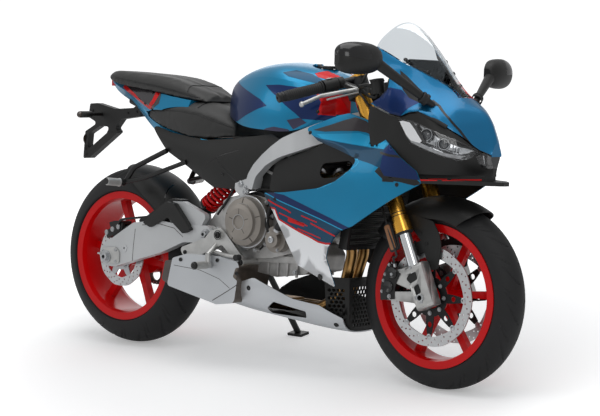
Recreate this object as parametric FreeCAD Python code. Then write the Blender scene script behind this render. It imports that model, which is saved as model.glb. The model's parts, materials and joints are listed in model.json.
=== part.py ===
import FreeCAD, Part
import math
import os

# A faired sport motorcycle, parked on its side stand with the steering straight.
# It is drawn upright and then leaned as it parks: X forward, Y to the rider's left, Z up, in millimetres.
# While it is drawn, the origin is on the floor, midway between the two axles.

V = FreeCAD.Vector

# Driving dimensions of the rolling chassis
WHEELBASE = 1370.0
FRONT_R = 300.0
REAR_R = 315.0
FRONT_TYRE_W = 120.0
REAR_TYRE_W = 180.0
RAKE = 24.1
TRAIL = 104.6
LOCK = 27.0
LEAN = 10.5
XF = WHEELBASE / 2
XR = -WHEELBASE / 2

# Where the origin goes once the bike leans: on the floor, in the middle of its outline seen from above
ORIGIN_X = 7.4
ORIGIN_Y = 197.1

# The steering frame: W runs up the steering axis from the floor, U is square to it and points forward
SIN_RAKE = math.sin(math.radians(RAKE))
COS_RAKE = math.cos(math.radians(RAKE))
STEER_FOOT_X = XF + TRAIL
AXLE_U = FRONT_R * SIN_RAKE - TRAIL * COS_RAKE
AXLE_W = FRONT_R * COS_RAKE + TRAIL * SIN_RAKE


def steer(u, y, w):
    """A point of the steering frame, as a point of the bike."""
    return V(STEER_FOOT_X + u * COS_RAKE - w * SIN_RAKE, y, u * SIN_RAKE + w * COS_RAKE)


def raked(shape):
    """Takes a shape drawn in the steering frame, as if the axis were upright, to its place on the bike."""
    placed = shape.copy()
    placed.rotate(V(0, 0, 0), V(0, 1, 0), -RAKE)
    placed.translate(V(STEER_FOOT_X, 0, 0))
    return placed


def mirrored(shape):
    """The same shape on the other side of the bike."""
    return shape.mirror(V(0, 0, 0), V(0, 1, 0))


def both(shape):
    """A shape and its mirror image, as two solids."""
    return Part.makeCompound([shape, mirrored(shape)])


def fuse(*shapes):
    """One solid of several that overlap or touch, with the seams between flush faces removed."""
    solid = shapes[0]
    for other in shapes[1:]:
        solid = solid.fuse(other)
    return solid.removeSplitter()


def without(shape, *tools):
    """A shape with others cut out of it, tiny left-over pieces dropped."""
    for tool in tools:
        shape = shape.cut(tool)
    kept = [s for s in shape.Solids if s.Volume > 0.02 * shape.Volume]
    return kept[0] if len(kept) == 1 else Part.makeCompound(kept)


def outline(points, place):
    """A closed wire through 2D points. A third value on a point rounds that corner to that radius."""
    corners = []
    count = len(points)
    for i, point in enumerate(points):
        here = V(point[0], point[1], 0)
        radius = point[2] if len(point) > 2 else 0
        before = V(points[i - 1][0], points[i - 1][1], 0) - here
        after = V(points[(i + 1) % count][0], points[(i + 1) % count][1], 0) - here
        if not radius or before.getAngle(after) > 3.13:
            corners.append((here, None, here))
            continue
        half = before.getAngle(after) / 2
        reach = min(radius / math.tan(half), 0.49 * before.Length, 0.49 * after.Length)
        radius = reach * math.tan(half)
        inward = (V(before).normalize() + V(after).normalize()).normalize()
        middle = here + inward * (radius / math.sin(half) - radius)
        corners.append((here + V(before).normalize() * reach, middle, here + V(after).normalize() * reach))
    edges = []
    for i, (first, middle, last) in enumerate(corners):
        if middle is not None:
            edges.append(Part.Arc(place(first), place(middle), place(last)).toShape())
        start, end = place(last), place(corners[(i + 1) % count][0])
        if start.distanceToPoint(end) > 1e-6:
            edges.append(Part.LineSegment(start, end).toShape())
    return Part.Wire(edges)


def side_prism(points, y0, y1):
    """A solid whose side view is an outline of (x, z) points."""
    face = Part.Face(outline(points, lambda p: V(p.x, y0, p.y)))
    return face.extrude(V(0, y1 - y0, 0))


def plan_prism(points, z0, z1):
    """A solid whose top view is an outline of (x, y) points."""
    face = Part.Face(outline(points, lambda p: V(p.x, p.y, z0)))
    return face.extrude(V(0, 0, z1 - z0))


def front_prism(points, x0, x1):
    """A solid whose front view is an outline of (y, z) points."""
    face = Part.Face(outline(points, lambda p: V(x0, p.x, p.y)))
    return face.extrude(V(x1 - x0, 0, 0))


def rod(start, end, radius):
    """A round bar between two points."""
    return Part.makeCylinder(radius, start.distanceToPoint(end), start, end - start)


def cross_pin(x, z, radius, y0, y1):
    """A round bar across the bike."""
    return Part.makeCylinder(radius, y1 - y0, V(x, y0, z), V(0, 1, 0))


def bent_tube(points, radius, bend):
    """A round tube along straight runs joined by tangent arcs."""
    edges = []
    last = points[0]
    for i in range(1, len(points) - 1):
        here = points[i]
        back, ahead = points[i - 1] - here, points[i + 1] - here
        half = back.getAngle(ahead) / 2
        reach = min(bend / math.tan(half), 0.45 * back.Length, 0.45 * ahead.Length)
        arc_radius = reach * math.tan(half)
        inward = (V(back).normalize() + V(ahead).normalize()).normalize()
        first = here + V(back).normalize() * reach
        end = here + V(ahead).normalize() * reach
        middle = here + inward * (arc_radius / math.sin(half) - arc_radius)
        edges.append(Part.LineSegment(last, first).toShape())
        edges.append(Part.Arc(first, middle, end).toShape())
        last = end
    edges.append(Part.LineSegment(last, points[-1]).toShape())
    section = Part.Wire(Part.Circle(points[0], points[1] - points[0], radius).toShape())
    return Part.Wire(edges).makePipeShell([section], True, False)


def turned(profile, x, z):
    """A solid of revolution about an axle across the bike, from (radius, y) points."""
    face = Part.Face(outline(profile, lambda p: V(x, p.y, z + p.x)))
    return face.revolve(V(x, 0, z), V(0, 1, 0), 360)


def spline(points, marks=None):
    """An open smooth edge through points. Edges that share their marks loft into an even surface."""
    curve = Part.BSplineCurve()
    if marks:
        curve.interpolate(Points=points, Parameters=marks)
    else:
        curve.interpolate(points)
    return curve.toShape()


def loft(wires):
    """A solid through closed wires with the same number of edges."""
    return Part.makeLoft(wires, True, False)


def shell_rib(x, points, thickness, marks=None):
    """The closed section, at one x, of a thin wall whose outside runs through (y, z) points."""
    outer = [V(x, y, z) for y, z in points]
    inner = []
    for i, here in enumerate(outer):
        ahead = outer[min(i + 1, len(outer) - 1)] - outer[max(i - 1, 0)]
        inward = V(0, -ahead.z, ahead.y).normalize() * thickness
        inner.append(here + inward)
    back_marks = [marks[-1] - mark for mark in reversed(marks)] if marks else None
    return Part.Wire([
        spline(outer, marks),
        Part.LineSegment(outer[-1], inner[-1]).toShape(),
        spline(inner[::-1], back_marks),
        Part.LineSegment(inner[0], outer[0]).toShape(),
    ])


def body_section(x, half):
    """A closed section at one x, from half of it as runs of (y, z) points that meet at creases."""
    edges = []
    for run in half:
        edges.append(spline([V(x, y, z) for y, z in run]) if len(run) > 2 else
                     Part.LineSegment(V(x, *run[0]), V(x, *run[1])).toShape())
    for run in reversed(half):
        back = [(-y, z) for y, z in reversed(run)]
        edges.append(spline([V(x, y, z) for y, z in back]) if len(back) > 2 else
                     Part.LineSegment(V(x, *back[0]), V(x, *back[1])).toShape())
    return Part.Wire(edges)


# Wheels: cast rims with three pairs of spokes, a hub on bearings, and a round-crowned tyre
def rim(x, z, half, spoke_y, angles, hub):
    """A cast wheel: the barrel, six spokes in pairs and the hub turned from (radius, y) points."""
    barrel = turned([
        (201, -half + 14), (206, -half - 4), (231, -half - 5), (231, -half + 1), (219.5, -half + 1),
        (219.5, -half + 12), (208, -half + 24), (208, half - 24), (219.5, half - 12), (219.5, half - 1),
        (231, half - 1), (231, half + 5), (206, half + 4), (201, half - 14),
    ], x, z)
    arms = []
    for angle in angles:
        arm = Part.Face(outline([(24, -17), (120, -11), (205, -13), (205, 13), (120, 11), (24, 17)],
                                lambda p: V(p.x, -spoke_y, p.y))).extrude(V(0, 2 * spoke_y, 0))
        lean_in = 14 if (angles.index(angle) % 2) else -14
        arm.translate(V(0, 0, lean_in * 0.4))
        arm.rotate(V(0, 0, 0), V(0, 1, 0), -angle)
        arm.translate(V(x, 0, z))
        arms.append(arm)
    core = turned(hub, x, z)
    return fuse(barrel, core, *arms)


def tyre(x, z, radius, half, crown):
    """A tyre with an open inside: a round crown of the given radius over straight walls."""
    centre = radius - crown

    def section(r, y):
        return V(x, y, z + r)

    bead = half - (9 if half < 70 else 14)
    inner_half = half - 11
    wall_r = max(centre, 238.0)
    wall_y = half * math.sqrt(1 - ((wall_r - centre) / crown) ** 2)
    corners = [(wall_r, wall_y), (232, bead + 4), (231.2, bead), (219.5, bead), (219.5, bead - 9),
               (centre, inner_half)]
    right = [section(r, y) for r, y in corners]
    left = [section(r, -y) for r, y in corners]
    edges = [Part.Arc(left[0], section(radius, 0), right[0]).toShape()]
    edges += [Part.LineSegment(right[i], right[i + 1]).toShape() for i in range(5)]
    edges += [Part.Arc(right[5], section(radius - 14, 0), left[5]).toShape()]
    edges += [Part.LineSegment(left[i + 1], left[i]).toShape() for i in range(4, -1, -1)]
    return Part.Face(Part.Wire(edges)).revolve(V(x, 0, z), V(0, 1, 0), 360)


def brake_disc(x, z, radius, band, bolt_r, y, thick, arms):
    """A brake disc: the swept band and the carrier that bolts to the hub, as one plate."""
    ring = turned([(radius - band, y), (radius, y), (radius, y + thick), (radius - band, y + thick)], x, z)
    seat = turned([(bolt_r - 10, y), (bolt_r + 8, y), (bolt_r + 8, y + thick), (bolt_r - 10, y + thick)], x, z)
    spider = []
    for i in range(arms):
        arm = Part.makeBox(radius - band - bolt_r + 2, thick, 12, V(bolt_r, y, -6))
        arm.rotate(V(0, 0, 0), V(0, 1, 0), 360.0 * i / arms)
        arm.translate(V(x, 0, z))
        spider.append(arm)
    return fuse(ring, seat, *spider)


AXLE_R = 12.5
HUB_BORE = 12.55
FRONT_DISC_R = 160.0
FRONT_DISC_Y = 66.0
FRONT_DISC_T = 4.5
REAR_DISC_R = 110.0
REAR_DISC_Y = -80.0
REAR_DISC_T = 5.0

front_rim = rim(XF, FRONT_R, 52, 12, (64, 4, -56, -116, -176, 124), [
    (HUB_BORE, -70), (30, -70), (30, -66), (62, -66), (62, -58), (34, -50), (30, -20), (30, 20),
    (34, 50), (62, 58), (62, 66), (30, 66), (30, 70), (HUB_BORE, 70)])
front_tyre = tyre(XF, FRONT_R, FRONT_R, FRONT_TYRE_W / 2, 60)
front_discs = Part.makeCompound([
    brake_disc(XF, FRONT_R, FRONT_DISC_R, 33, 50, FRONT_DISC_Y, FRONT_DISC_T, 8),
    brake_disc(XF, FRONT_R, FRONT_DISC_R, 33, 50, -FRONT_DISC_Y - FRONT_DISC_T, FRONT_DISC_T, 8)])

rear_rim = rim(XR, REAR_R, 77, 14, (112, 52, -8, -68, -128, 172), [
    (HUB_BORE, -84), (28, -84), (28, -80), (52, -80), (52, -74), (40, -60), (36, -20), (40, 20),
    (70, 50), (70, 94), (60, 100), (28, 100), (28, 106), (HUB_BORE, 106)])
rear_tyre = tyre(XR, REAR_R, REAR_R, REAR_TYRE_W / 2, 90)
rear_disc = brake_disc(XR, REAR_R, REAR_DISC_R, 30, 40, REAR_DISC_Y - REAR_DISC_T, REAR_DISC_T, 6)

# The chain runs round the rear sprocket and the small one on the engine
CHAIN_PITCH_R = 108.0
PINION_R = 43.0
PINION_X, PINION_Z = -150.0, 440.0
teeth = 43
tooth_edge = []
for tooth in range(teeth):
    step = 2 * math.pi / teeth
    for part, radius in ((-0.25, 103.4), (0.0, 100.4), (0.25, 103.4)):
        turn = (tooth + part) * step
        tooth_edge.append((XR + radius * math.cos(turn), REAR_R + radius * math.sin(turn)))
rear_sprocket = side_prism(tooth_edge, 100.0, 106.0)
rear_sprocket = rear_sprocket.cut(cross_pin(XR, REAR_R, 28.0, 99, 107))
for i in range(5):
    hole = Part.makeCylinder(20, 10, V(XR + 79, 98, REAR_R), V(0, 1, 0))
    hole.rotate(V(XR, 0, REAR_R), V(0, 1, 0), 72.0 * i + 20)
    rear_sprocket = rear_sprocket.cut(hole)


def chain_band(offset, y0, y1):
    """The solid inside the chain loop, at a distance outside the pitch line."""
    big, small = CHAIN_PITCH_R + offset, PINION_R + offset
    dx, dz = PINION_X - XR, PINION_Z - REAR_R
    gap = math.hypot(dx, dz)
    heading = math.atan2(dz, dx)
    spread = math.acos((CHAIN_PITCH_R - PINION_R) / gap)
    tangents = []
    for side in (1, -1):
        turn = heading + side * spread
        tangents.append((turn, V(XR + big * math.cos(turn), y0, REAR_R + big * math.sin(turn)),
                         V(PINION_X + small * math.cos(turn), y0, PINION_Z + small * math.sin(turn))))
    (up, up_rear, up_front), (down, down_rear, down_front) = tangents
    rear_back = V(XR - big * math.cos(heading), y0, REAR_R - big * math.sin(heading))
    front_nose = V(PINION_X + small * math.cos(heading), y0, PINION_Z + small * math.sin(heading))
    wire = Part.Wire([Part.LineSegment(up_rear, up_front).toShape(),
                      Part.Arc(up_front, front_nose, down_front).toShape(),
                      Part.LineSegment(down_front, down_rear).toShape(),
                      Part.Arc(down_rear, rear_back, up_rear).toShape()])
    return Part.Face(wire).extrude(V(0, y1 - y0, 0))


chain = chain_band(7, 95, 111).cut(chain_band(-4, 94, 112))

# The fork and everything that turns with the bars
LEG_U = AXLE_U
LEG_Y = 103.0
SLIDER_R = 20.5
TUBE_R = 27.0
TUBE_LOW_W = 535.0
TUBE_TOP_W = 1066.0
STEM_R = 14.9
LOWER_YOKE_W = (738.0, 774.0)
TOP_YOKE_W = (1000.0, 1022.0)


def steer_cyl(u, y, w0, w1, radius):
    """An upright round bar of the steering frame."""
    return raked(Part.makeCylinder(radius, w1 - w0, V(u, y, w0), V(0, 0, 1)))


front_axle = fuse(
    cross_pin(XF, FRONT_R, AXLE_R, -126, 126),
    cross_pin(XF, FRONT_R, 19, 70.6, 81),
    cross_pin(XF, FRONT_R, 19, -81, -70.6)).cut(cross_pin(XF, FRONT_R, 8.5, -130, 130))

slider = steer_cyl(LEG_U, LEG_Y, 400, TUBE_LOW_W + 40, SLIDER_R)
fork_sliders = both(slider)
tube = steer_cyl(LEG_U, LEG_Y, TUBE_LOW_W, TUBE_TOP_W, TUBE_R)
tube = tube.fuse(steer_cyl(LEG_U, LEG_Y, TUBE_LOW_W, TUBE_LOW_W + 34, TUBE_R + 2.5)).removeSplitter()
tube = tube.cut(steer_cyl(LEG_U, LEG_Y, TUBE_LOW_W - 1, TUBE_LOW_W + 40, SLIDER_R))
fork_tubes = both(tube)

# The cast fork foot: a boss round the axle, the socket for the slider and two arms to the caliper
CALIPER_ANGLE = 164.5
foot_plate = raked(front_prism([(81, 280, 4), (81, 424, 8), (124, 424, 10), (124, 280, 10)], LEG_U - 26, LEG_U + 40))
foot_axle = cross_pin(XF, FRONT_R, 31, 81, 122)
arm_top = Part.Face(outline([(20, 60), (60, 96), (150, 62), (158, 44), (60, 20)],
                            lambda p: V(XF - p.x, 86, FRONT_R + p.y))).extrude(V(0, 16, 0))
arm_low = Part.Face(outline([(0, 20), (60, 12), (150, 4), (158, -22), (60, -22), (0, -24)],
                            lambda p: V(XF - p.x, 86, FRONT_R + p.y))).extrude(V(0, 16, 0))
foot = fuse(foot_plate, foot_axle, arm_top, arm_low)
foot = foot.cut(cross_pin(XF, FRONT_R, AXLE_R, 60, 130))
foot = foot.cut(steer_cyl(LEG_U, LEG_Y, 400, 600, SLIDER_R))
fork_feet = both(foot)

caliper = turned([(118, 40), (150, 38), (178, 42), (178, 100), (150, 106), (118, 104)], XF, FRONT_R)
wedge = side_prism([(XF, FRONT_R), (XF - 260, FRONT_R + 175), (XF - 260, FRONT_R - 38)], 0, 160)
caliper = caliper.common(wedge)
slot = turned([(90, 60.6), (167, 60.6), (167, 75.9), (90, 75.9)], XF, FRONT_R)
caliper = without(caliper, slot, foot)
front_calipers = both(caliper)

lower_yoke = raked(fuse(
    plan_prism([(-24, -34, 12), (-6, -134, 20), (62, -134, 24), (58, -40, 12), (58, 40, 12), (62, 134, 24),
                (-6, 134, 20), (-24, 34, 12)], *LOWER_YOKE_W),
    Part.makeCylinder(28, 44, V(0, 0, LOWER_YOKE_W[0] - 8), V(0, 0, 1)),
    Part.makeCylinder(STEM_R, TOP_YOKE_W[0] + 30 - LOWER_YOKE_W[0], V(0, 0, LOWER_YOKE_W[0]), V(0, 0, 1))))
top_yoke = raked(fuse(
    plan_prism([(-34, -26, 14), (-12, -134, 20), (60, -134, 24), (46, -50, 16), (46, 50, 16), (60, 134, 24),
                (-12, 134, 20), (-34, 26, 14)], *TOP_YOKE_W),
    Part.makeCylinder(22, 34, V(0, 0, TOP_YOKE_W[0] - 3), V(0, 0, 1)),
    Part.makeCylinder(17, 46, V(52, 0, TOP_YOKE_W[0] - 12), V(0, 0, 1))))
for side in (1, -1):
    hole = steer_cyl(LEG_U, side * LEG_Y, 500, 1100, TUBE_R)
    lower_yoke = lower_yoke.cut(hole)
    top_yoke = top_yoke.cut(hole)
top_yoke = top_yoke.cut(lower_yoke)

# Clip-on bars clamp round the fork tubes above the top yoke
BAR_IN = V(388, -128, 976)
BAR_OUT = V(281, -362, 912)
bar_dir = (BAR_OUT - BAR_IN).normalize()
GRIP_START = BAR_IN + bar_dir * 118
clip = steer_cyl(LEG_U, -LEG_Y, 1028, 1060, TUBE_R + 7).fuse(rod(BAR_IN - bar_dir * 6, BAR_OUT, 11))
clip = clip.removeSplitter().cut(steer_cyl(LEG_U, -LEG_Y, 1000, 1100, TUBE_R))
handlebars = both(clip)
grip = rod(GRIP_START, BAR_OUT - bar_dir * 12, 17).fuse(rod(BAR_OUT - bar_dir * 12, BAR_OUT + bar_dir * 8, 15))
grip = grip.removeSplitter().cut(rod(BAR_IN, BAR_OUT, 11))
grips = both(grip)

switch_body = rod(BAR_IN + bar_dir * 62, BAR_IN + bar_dir * 112, 22)
switch_body = switch_body.cut(rod(BAR_IN, BAR_OUT, 11))
switchgear = both(switch_body)

# Brake and clutch levers on their clamps, and the brake reservoir on a stalk
LEVER_ROOT = V(424, -150, 946)
lever_clamp = rod(BAR_IN + bar_dir * 40, BAR_IN + bar_dir * 58, 19).fuse(
    rod(BAR_IN + bar_dir * 49, LEVER_ROOT, 11)).removeSplitter()
lever_clamp = lever_clamp.cut(rod(BAR_IN, BAR_OUT, 11))
lever_blade = bent_tube([LEVER_ROOT, V(402, -195, 937), V(369, -268, 921), V(357, -346, 893)], 6.5, 60)
lever_blade = fuse(lever_blade, Part.makeSphere(9, V(357, -346, 893)))
lever = fuse(lever_clamp, lever_blade)
lever = without(lever, clip)
control_levers = both(lever)

RESERVOIR = V(492, -132, 945)
cup = Part.makeCylinder(22, 42, V(0, 0, -12), V(0, 0, 1))
cup.rotate(V(0, 0, 0), V(0, 1, 0), -12)
cup.translate(RESERVOIR)
brake_reservoir = fuse(cup, bent_tube([V(424, -150, 954), V(455, -142, 962), V(492, -132, 948)], 6, 24))
brake_reservoir = without(brake_reservoir, lever)

# The front mudguard is a thin U round the tyre, carried by the fork legs
guard_profile = [(247, -76), (262, -77), (292, -66), (311, -40), (319, 0), (311, 40), (292, 66), (262, 77), (247, 76)]


def guard_ring(points, thickness):
    """A ring whose section follows (radius, y) points about the front axle."""
    outer = [V(XF, y, FRONT_R + r) for r, y in points]
    inner = [V(XF, y * (1 - thickness / 76.0), FRONT_R + r - thickness * (r / 319.0)) for r, y in points]
    wire = Part.Wire([spline(outer), Part.LineSegment(outer[-1], inner[-1]).toShape(), spline(inner[::-1]),
                      Part.LineSegment(inner[0], outer[0]).toShape()])
    return Part.Face(wire).revolve(V(XF, 0, FRONT_R), V(0, 1, 0), 360)


mudguard_cut = side_prism([
    (850, 588), (820, 560), (760, 520), (724, 470), (716, 392), (690, 384), (668, 420), (600, 440),
    (500, 470), (440, 500), (430, 560), (560, 680), (860, 700)], -120, 120)
front_mudguard = guard_ring(guard_profile, 3.0).common(mudguard_cut)
guard_stay = raked(fuse(Part.makeBox(30, 10, 50, V(LEG_U - 15, 75.6, 450)),
                        Part.makeBox(73, 3.4, 40, V(LEG_U - 15, 75.6, 454))))
guard_wing = side_prism([(690, 540, 10), (716, 500, 20), (724, 470, 20), (716, 392, 6), (690, 384, 10), (668, 420, 20),
                         (650, 470, 30), (600, 520, 20), (590, 560, 10)], -79, -75.4)
front_mudguard = fuse(front_mudguard, guard_wing, mirrored(guard_wing), guard_stay, mirrored(guard_stay))
front_mudguard = front_mudguard.cut(fork_sliders).cut(fork_tubes)
front_mudguard = front_mudguard.cut(turned([(0, -73.6), (240, -73.6), (288, -64), (308, -36), (314, 0), (308, 36),
                                            (288, 64), (240, 73.6), (0, 73.6)], XF, FRONT_R))

# The shock absorber runs from the swingarm up to the frame, a little to the right of the middle
SHOCK_LOW = V(-318, -60, 500)
SHOCK_TOP = V(-100, -60, 676)

# Main frame: the steering head and two broad cast beams that curve round the engine
HEAD_W = (784.0, 988.0)
beam_side = side_prism([
    (455, 868, 6), (365, 872, 60), (300, 846, 90), (240, 820, 90), (130, 776, 90), (80, 744, 90), (40, 716, 80),
    (0, 682, 60), (-26, 650, 50), (-44, 604, 8), (-4, 596, 10), (12, 642, 50), (60, 682, 60), (120, 712, 90),
    (190, 734, 90), (285, 768, 90), (360, 792, 60), (452, 792, 6)], 0, 220)
beam_plan = plan_prism([
    (452, 18), (440, 46, 20), (372, 84, 60), (312, 128, 80), (250, 160, 80), (180, 174, 80), (90, 174, 80),
    (0, 162, 60), (-60, 152), (-60, 118), (0, 126, 60), (90, 138, 80), (170, 138, 80), (236, 124, 80),
    (290, 94, 60), (350, 52, 40), (410, 18)], 580, 900)
beam = beam_side.common(beam_plan)
head_tube = steer_cyl(0, 0, HEAD_W[0], HEAD_W[1], 34)
head_web = raked(Part.makeBox(76, 70, 92, V(-76, -35, 790)))
rear_plate = side_prism([(-44, 604, 10), (-4, 596, 6), (8, 640, 20), (-12, 664, 20), (-96, 640, 20), (-100, 590, 20),
                         (-60, 560, 16)], 118, 140)
rear_bridge = cross_pin(-80, 634, 16, -118, 118)


def shock_ears(points):
    """Two plates either side of an eye of the shock absorber."""
    near = side_prism(points, SHOCK_LOW.y - 24, SHOCK_LOW.y - 16)
    return [near, near.translated(V(0, 40, 0))]


upper_ears = shock_ears([(-100, 634, 6), (-68, 634, 6), (-84, 692, 14), (-118, 690, 14)])
main_frame = fuse(head_tube, head_web, beam, mirrored(beam), rear_plate, mirrored(rear_plate), rear_bridge,
                  *upper_ears)
main_frame = main_frame.cut(cross_pin(SHOCK_TOP.x, SHOCK_TOP.z, 6, -100, -20))
for turn in (0, 10, 19, LOCK):
    for side in (1, -1):
        swept_tube = Part.makeCylinder(TUBE_R + 5.5, 330, V(LEG_U, side * LEG_Y, 740), V(0, 0, 1))
        swept_tube.rotate(V(0, 0, 0), V(0, 0, 1), side * turn)
        main_frame = main_frame.cut(raked(swept_tube))
main_frame = main_frame.cut(steer_cyl(0, 0, 700, 1100, STEM_R + 0.06))

# Engine: crankcase with the gearbox behind, two cylinders leaning forward, the head and the cam cover
crankcase = side_prism([
    (-262, 452, 30), (-210, 520, 30), (-150, 560, 30), (-60, 582, 20), (60, 566, 20), (150, 520, 20), (190, 452, 30),
    (150, 396, 20), (60, 372, 30), (-120, 352, 40), (-230, 384, 30)], -118, 118)
crankcase = crankcase.cut(Part.makeBox(140, 30, 300, V(-310, 96, 330)))
crankcase = crankcase.cut(Part.makeBox(140, 30, 300, V(-310, -126, 330)))
sump = side_prism([(-90, 380, 20), (180, 420, 20), (206, 386, 16), (196, 330, 16), (60, 306, 20), (-40, 318, 20)],
                  -92, 92)
cylinder_run = [(-30, 560), (34, 744, 12), (190, 690, 12), (150, 500)]
cylinders = side_prism(cylinder_run, -116, 116)
cam_cover = side_prism([(34, 742, 4), (48, 784, 24), (196, 732, 24), (186, 688, 4)], -104, 104)
rear_lug = cross_pin(-225, 430, 34, -96, 96)
engine_block = fuse(crankcase, sump, cylinders, cam_cover, rear_lug)
engine_block = engine_block.cut(cross_pin(-225, 430, 10, -130, 130))

CLUTCH_X, CLUTCH_Z = -30.0, 488.0
clutch_cover = turned([(0, -118), (88, -118), (90, -150), (83, -152), (80, -172), (62, -178), (60, -190),
                       (46, -194), (24, -194), (22, -190), (0, -190)], CLUTCH_X, CLUTCH_Z)
water_pump = fuse(cross_pin(96, 438, 44, -150, -118), cross_pin(96, 438, 26, -168, -150),
                  cross_pin(122, 470, 14, -176, -118))
clutch_cover = fuse(clutch_cover, water_pump).cut(main_frame)
alternator_cover = turned([(0, 118), (80, 118), (80, 140), (70, 158), (52, 168), (0, 170)], -10, 470)
sprocket_cover = side_prism([(-184, 462, 16), (-150, 506, 30), (-98, 480, 20), (-96, 400, 20), (-150, 380, 30),
                             (-180, 396, 16)], 114, 128)
sprocket_cover = fuse(sprocket_cover, alternator_cover).cut(main_frame)

# The front sprocket sits on the gearbox shaft inside the chain loop
pinion = cross_pin(PINION_X, PINION_Z, PINION_R - 4, 98, 108).fuse(cross_pin(PINION_X, PINION_Z, 14, 96, 114))
front_sprocket = pinion.removeSplitter().cut(cross_pin(PINION_X, PINION_Z, 5, 90, 130))
engine_block = engine_block.cut(chain_band(14, 88, 120)).cut(sprocket_cover)
engine_block = engine_block.fuse(cross_pin(PINION_X, PINION_Z, 24, 60, 96)).removeSplitter()

# Exhaust: two header pipes down the front of the engine, under it, into the box on the right
header_right = bent_tube([V(168, -48, 650), V(262, -50, 640), V(330, -46, 560), V(338, -40, 400), V(300, -36, 262),
                          V(210, -40, 214), V(90, -60, 218)], 19, 60)
header_left = bent_tube([V(168, 48, 650), V(262, 50, 640), V(322, 44, 560), V(330, 30, 400), V(296, 12, 262),
                         V(210, 4, 214), V(90, -20, 218)], 19, 60)
collector = front_prism([(-84, 196, 20), (-84, 240, 20), (6, 240, 20), (6, 196, 20)], 18, 110)
mid_pipe = bent_tube([V(22, -46, 226), V(-30, -50, 232), V(-70, -66, 262)], 27, 60)
exhaust_pipes = fuse(header_right, header_left, collector, mid_pipe)
exhaust_pipes = without(exhaust_pipes, engine_block)

silencer_side = [(-20, 352, 20), (-110, 366, 30), (-264, 362, 10), (-330, 342, 12), (-352, 246, 12), (-120, 202, 20),
                 (-40, 214, 20)]
silencer = side_prism(silencer_side, -192, -30)
rear_room = Part.makeCylinder(REAR_R + 16, 400, V(XR, -112, REAR_R), V(0, 1, 0))
silencer = silencer.cut(rear_room)
silencer = silencer.cut(engine_block)
tail_pipe = side_prism([(-328, 334, 6), (-372, 330, 12), (-386, 262, 12), (-346, 246, 6)], -184, -116)
silencer_end = tail_pipe.cut(cross_pin(-380, 296, 22, -172, -128))
silencer_end = silencer_end.cut(silencer)
silencer = without(silencer, exhaust_pipes)

# Swingarm: a tube round the pivot, a box across in front of the tyre, and two arms
PIVOT_X, PIVOT_Z = -225.0, 430.0
arm_side = [(-716, 350, 8), (-700, 362, 10), (-560, 446, 30), (-440, 462, 40), (-330, 452, 30), (-222, 460, 30),
            (-196, 430, 24), (-222, 400, 24), (-330, 394, 30), (-430, 350, 40), (-650, 282, 12), (-712, 282, 8)]
arm_plan = [(-720, -152, 6), (-600, -156, 60), (-400, -146, 60), (-190, -134, 6), (-190, -100, 6), (-330, -102, 40),
            (-560, -112, 60), (-720, -104, 6)]
right_arm = side_prism(arm_side, -200, 0).common(plan_prism(arm_plan, 250, 500))
left_side = [(-716, 350, 8), (-640, 366, 30), (-560, 400, 30), (-430, 424, 40), (-330, 440, 30), (-222, 460, 30),
             (-196, 430, 24), (-222, 400, 24), (-330, 376, 30), (-430, 346, 40), (-650, 282, 12), (-712, 282, 8)]
left_plan = [(-720, 160, 6), (-560, 160, 60), (-420, 136, 60), (-190, 134, 6), (-190, 100, 6), (-330, 100, 40),
             (-500, 102, 60), (-590, 120, 40), (-720, 120, 6)]
left_arm = side_prism(left_side, 0, 200).common(plan_prism(left_plan, 250, 500))
cross_box = side_prism([(-350, 448, 10), (-290, 452, 10), (-286, 400, 10), (-346, 396, 10)], -110, 110)
arch = side_prism([(-404, 456, 10), (-398, 532, 16), (-342, 534, 20), (-228, 494, 16), (-256, 452, 10), (-318, 448, 10)],
                  -134, -112)
lower_ears = shock_ears([(-350, 440, 4), (-290, 440, 4), (-302, 510, 14), (-334, 510, 14)])
swingarm = fuse(right_arm, left_arm, cross_box, arch, *lower_ears)
swingarm = swingarm.cut(cross_pin(SHOCK_LOW.x, SHOCK_LOW.z, 6, -100, -20))
swingarm = swingarm.cut(cross_pin(PIVOT_X, PIVOT_Z, 10, -200, 200))
swingarm = swingarm.cut(cross_pin(XR, REAR_R, AXLE_R, -200, 200))
BOBBIN_R = 4.0
swingarm = fuse(swingarm, cross_pin(-600, 352, 13, -158, -130), cross_pin(-600, 338, 13, 134, 164))
swingarm = swingarm.cut(cross_pin(-600, 352, BOBBIN_R, -160, -138)).cut(cross_pin(-600, 338, BOBBIN_R, 144, 166))
swingarm_pivot = fuse(cross_pin(PIVOT_X, PIVOT_Z, 10, -140, 140), cross_pin(PIVOT_X, PIVOT_Z, 17, -146, -134),
                      cross_pin(PIVOT_X, PIVOT_Z, 17, 134, 146))
swingarm_pivot = swingarm_pivot.cut(cross_pin(PIVOT_X, PIVOT_Z, 6, -150, 150))
rear_axle = fuse(
    cross_pin(XR, REAR_R, AXLE_R, -166, 172), cross_pin(XR, REAR_R, 20, -104, -84.6),
    cross_pin(XR, REAR_R, 20, 106.6, 120), cross_pin(XR, REAR_R, 22, -164, -152),
    cross_pin(XR, REAR_R, 22, 160, 172)).cut(cross_pin(XR, REAR_R, 7, -180, 180))

swingarm = swingarm.cut(rear_axle).cut(swingarm_pivot)

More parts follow.
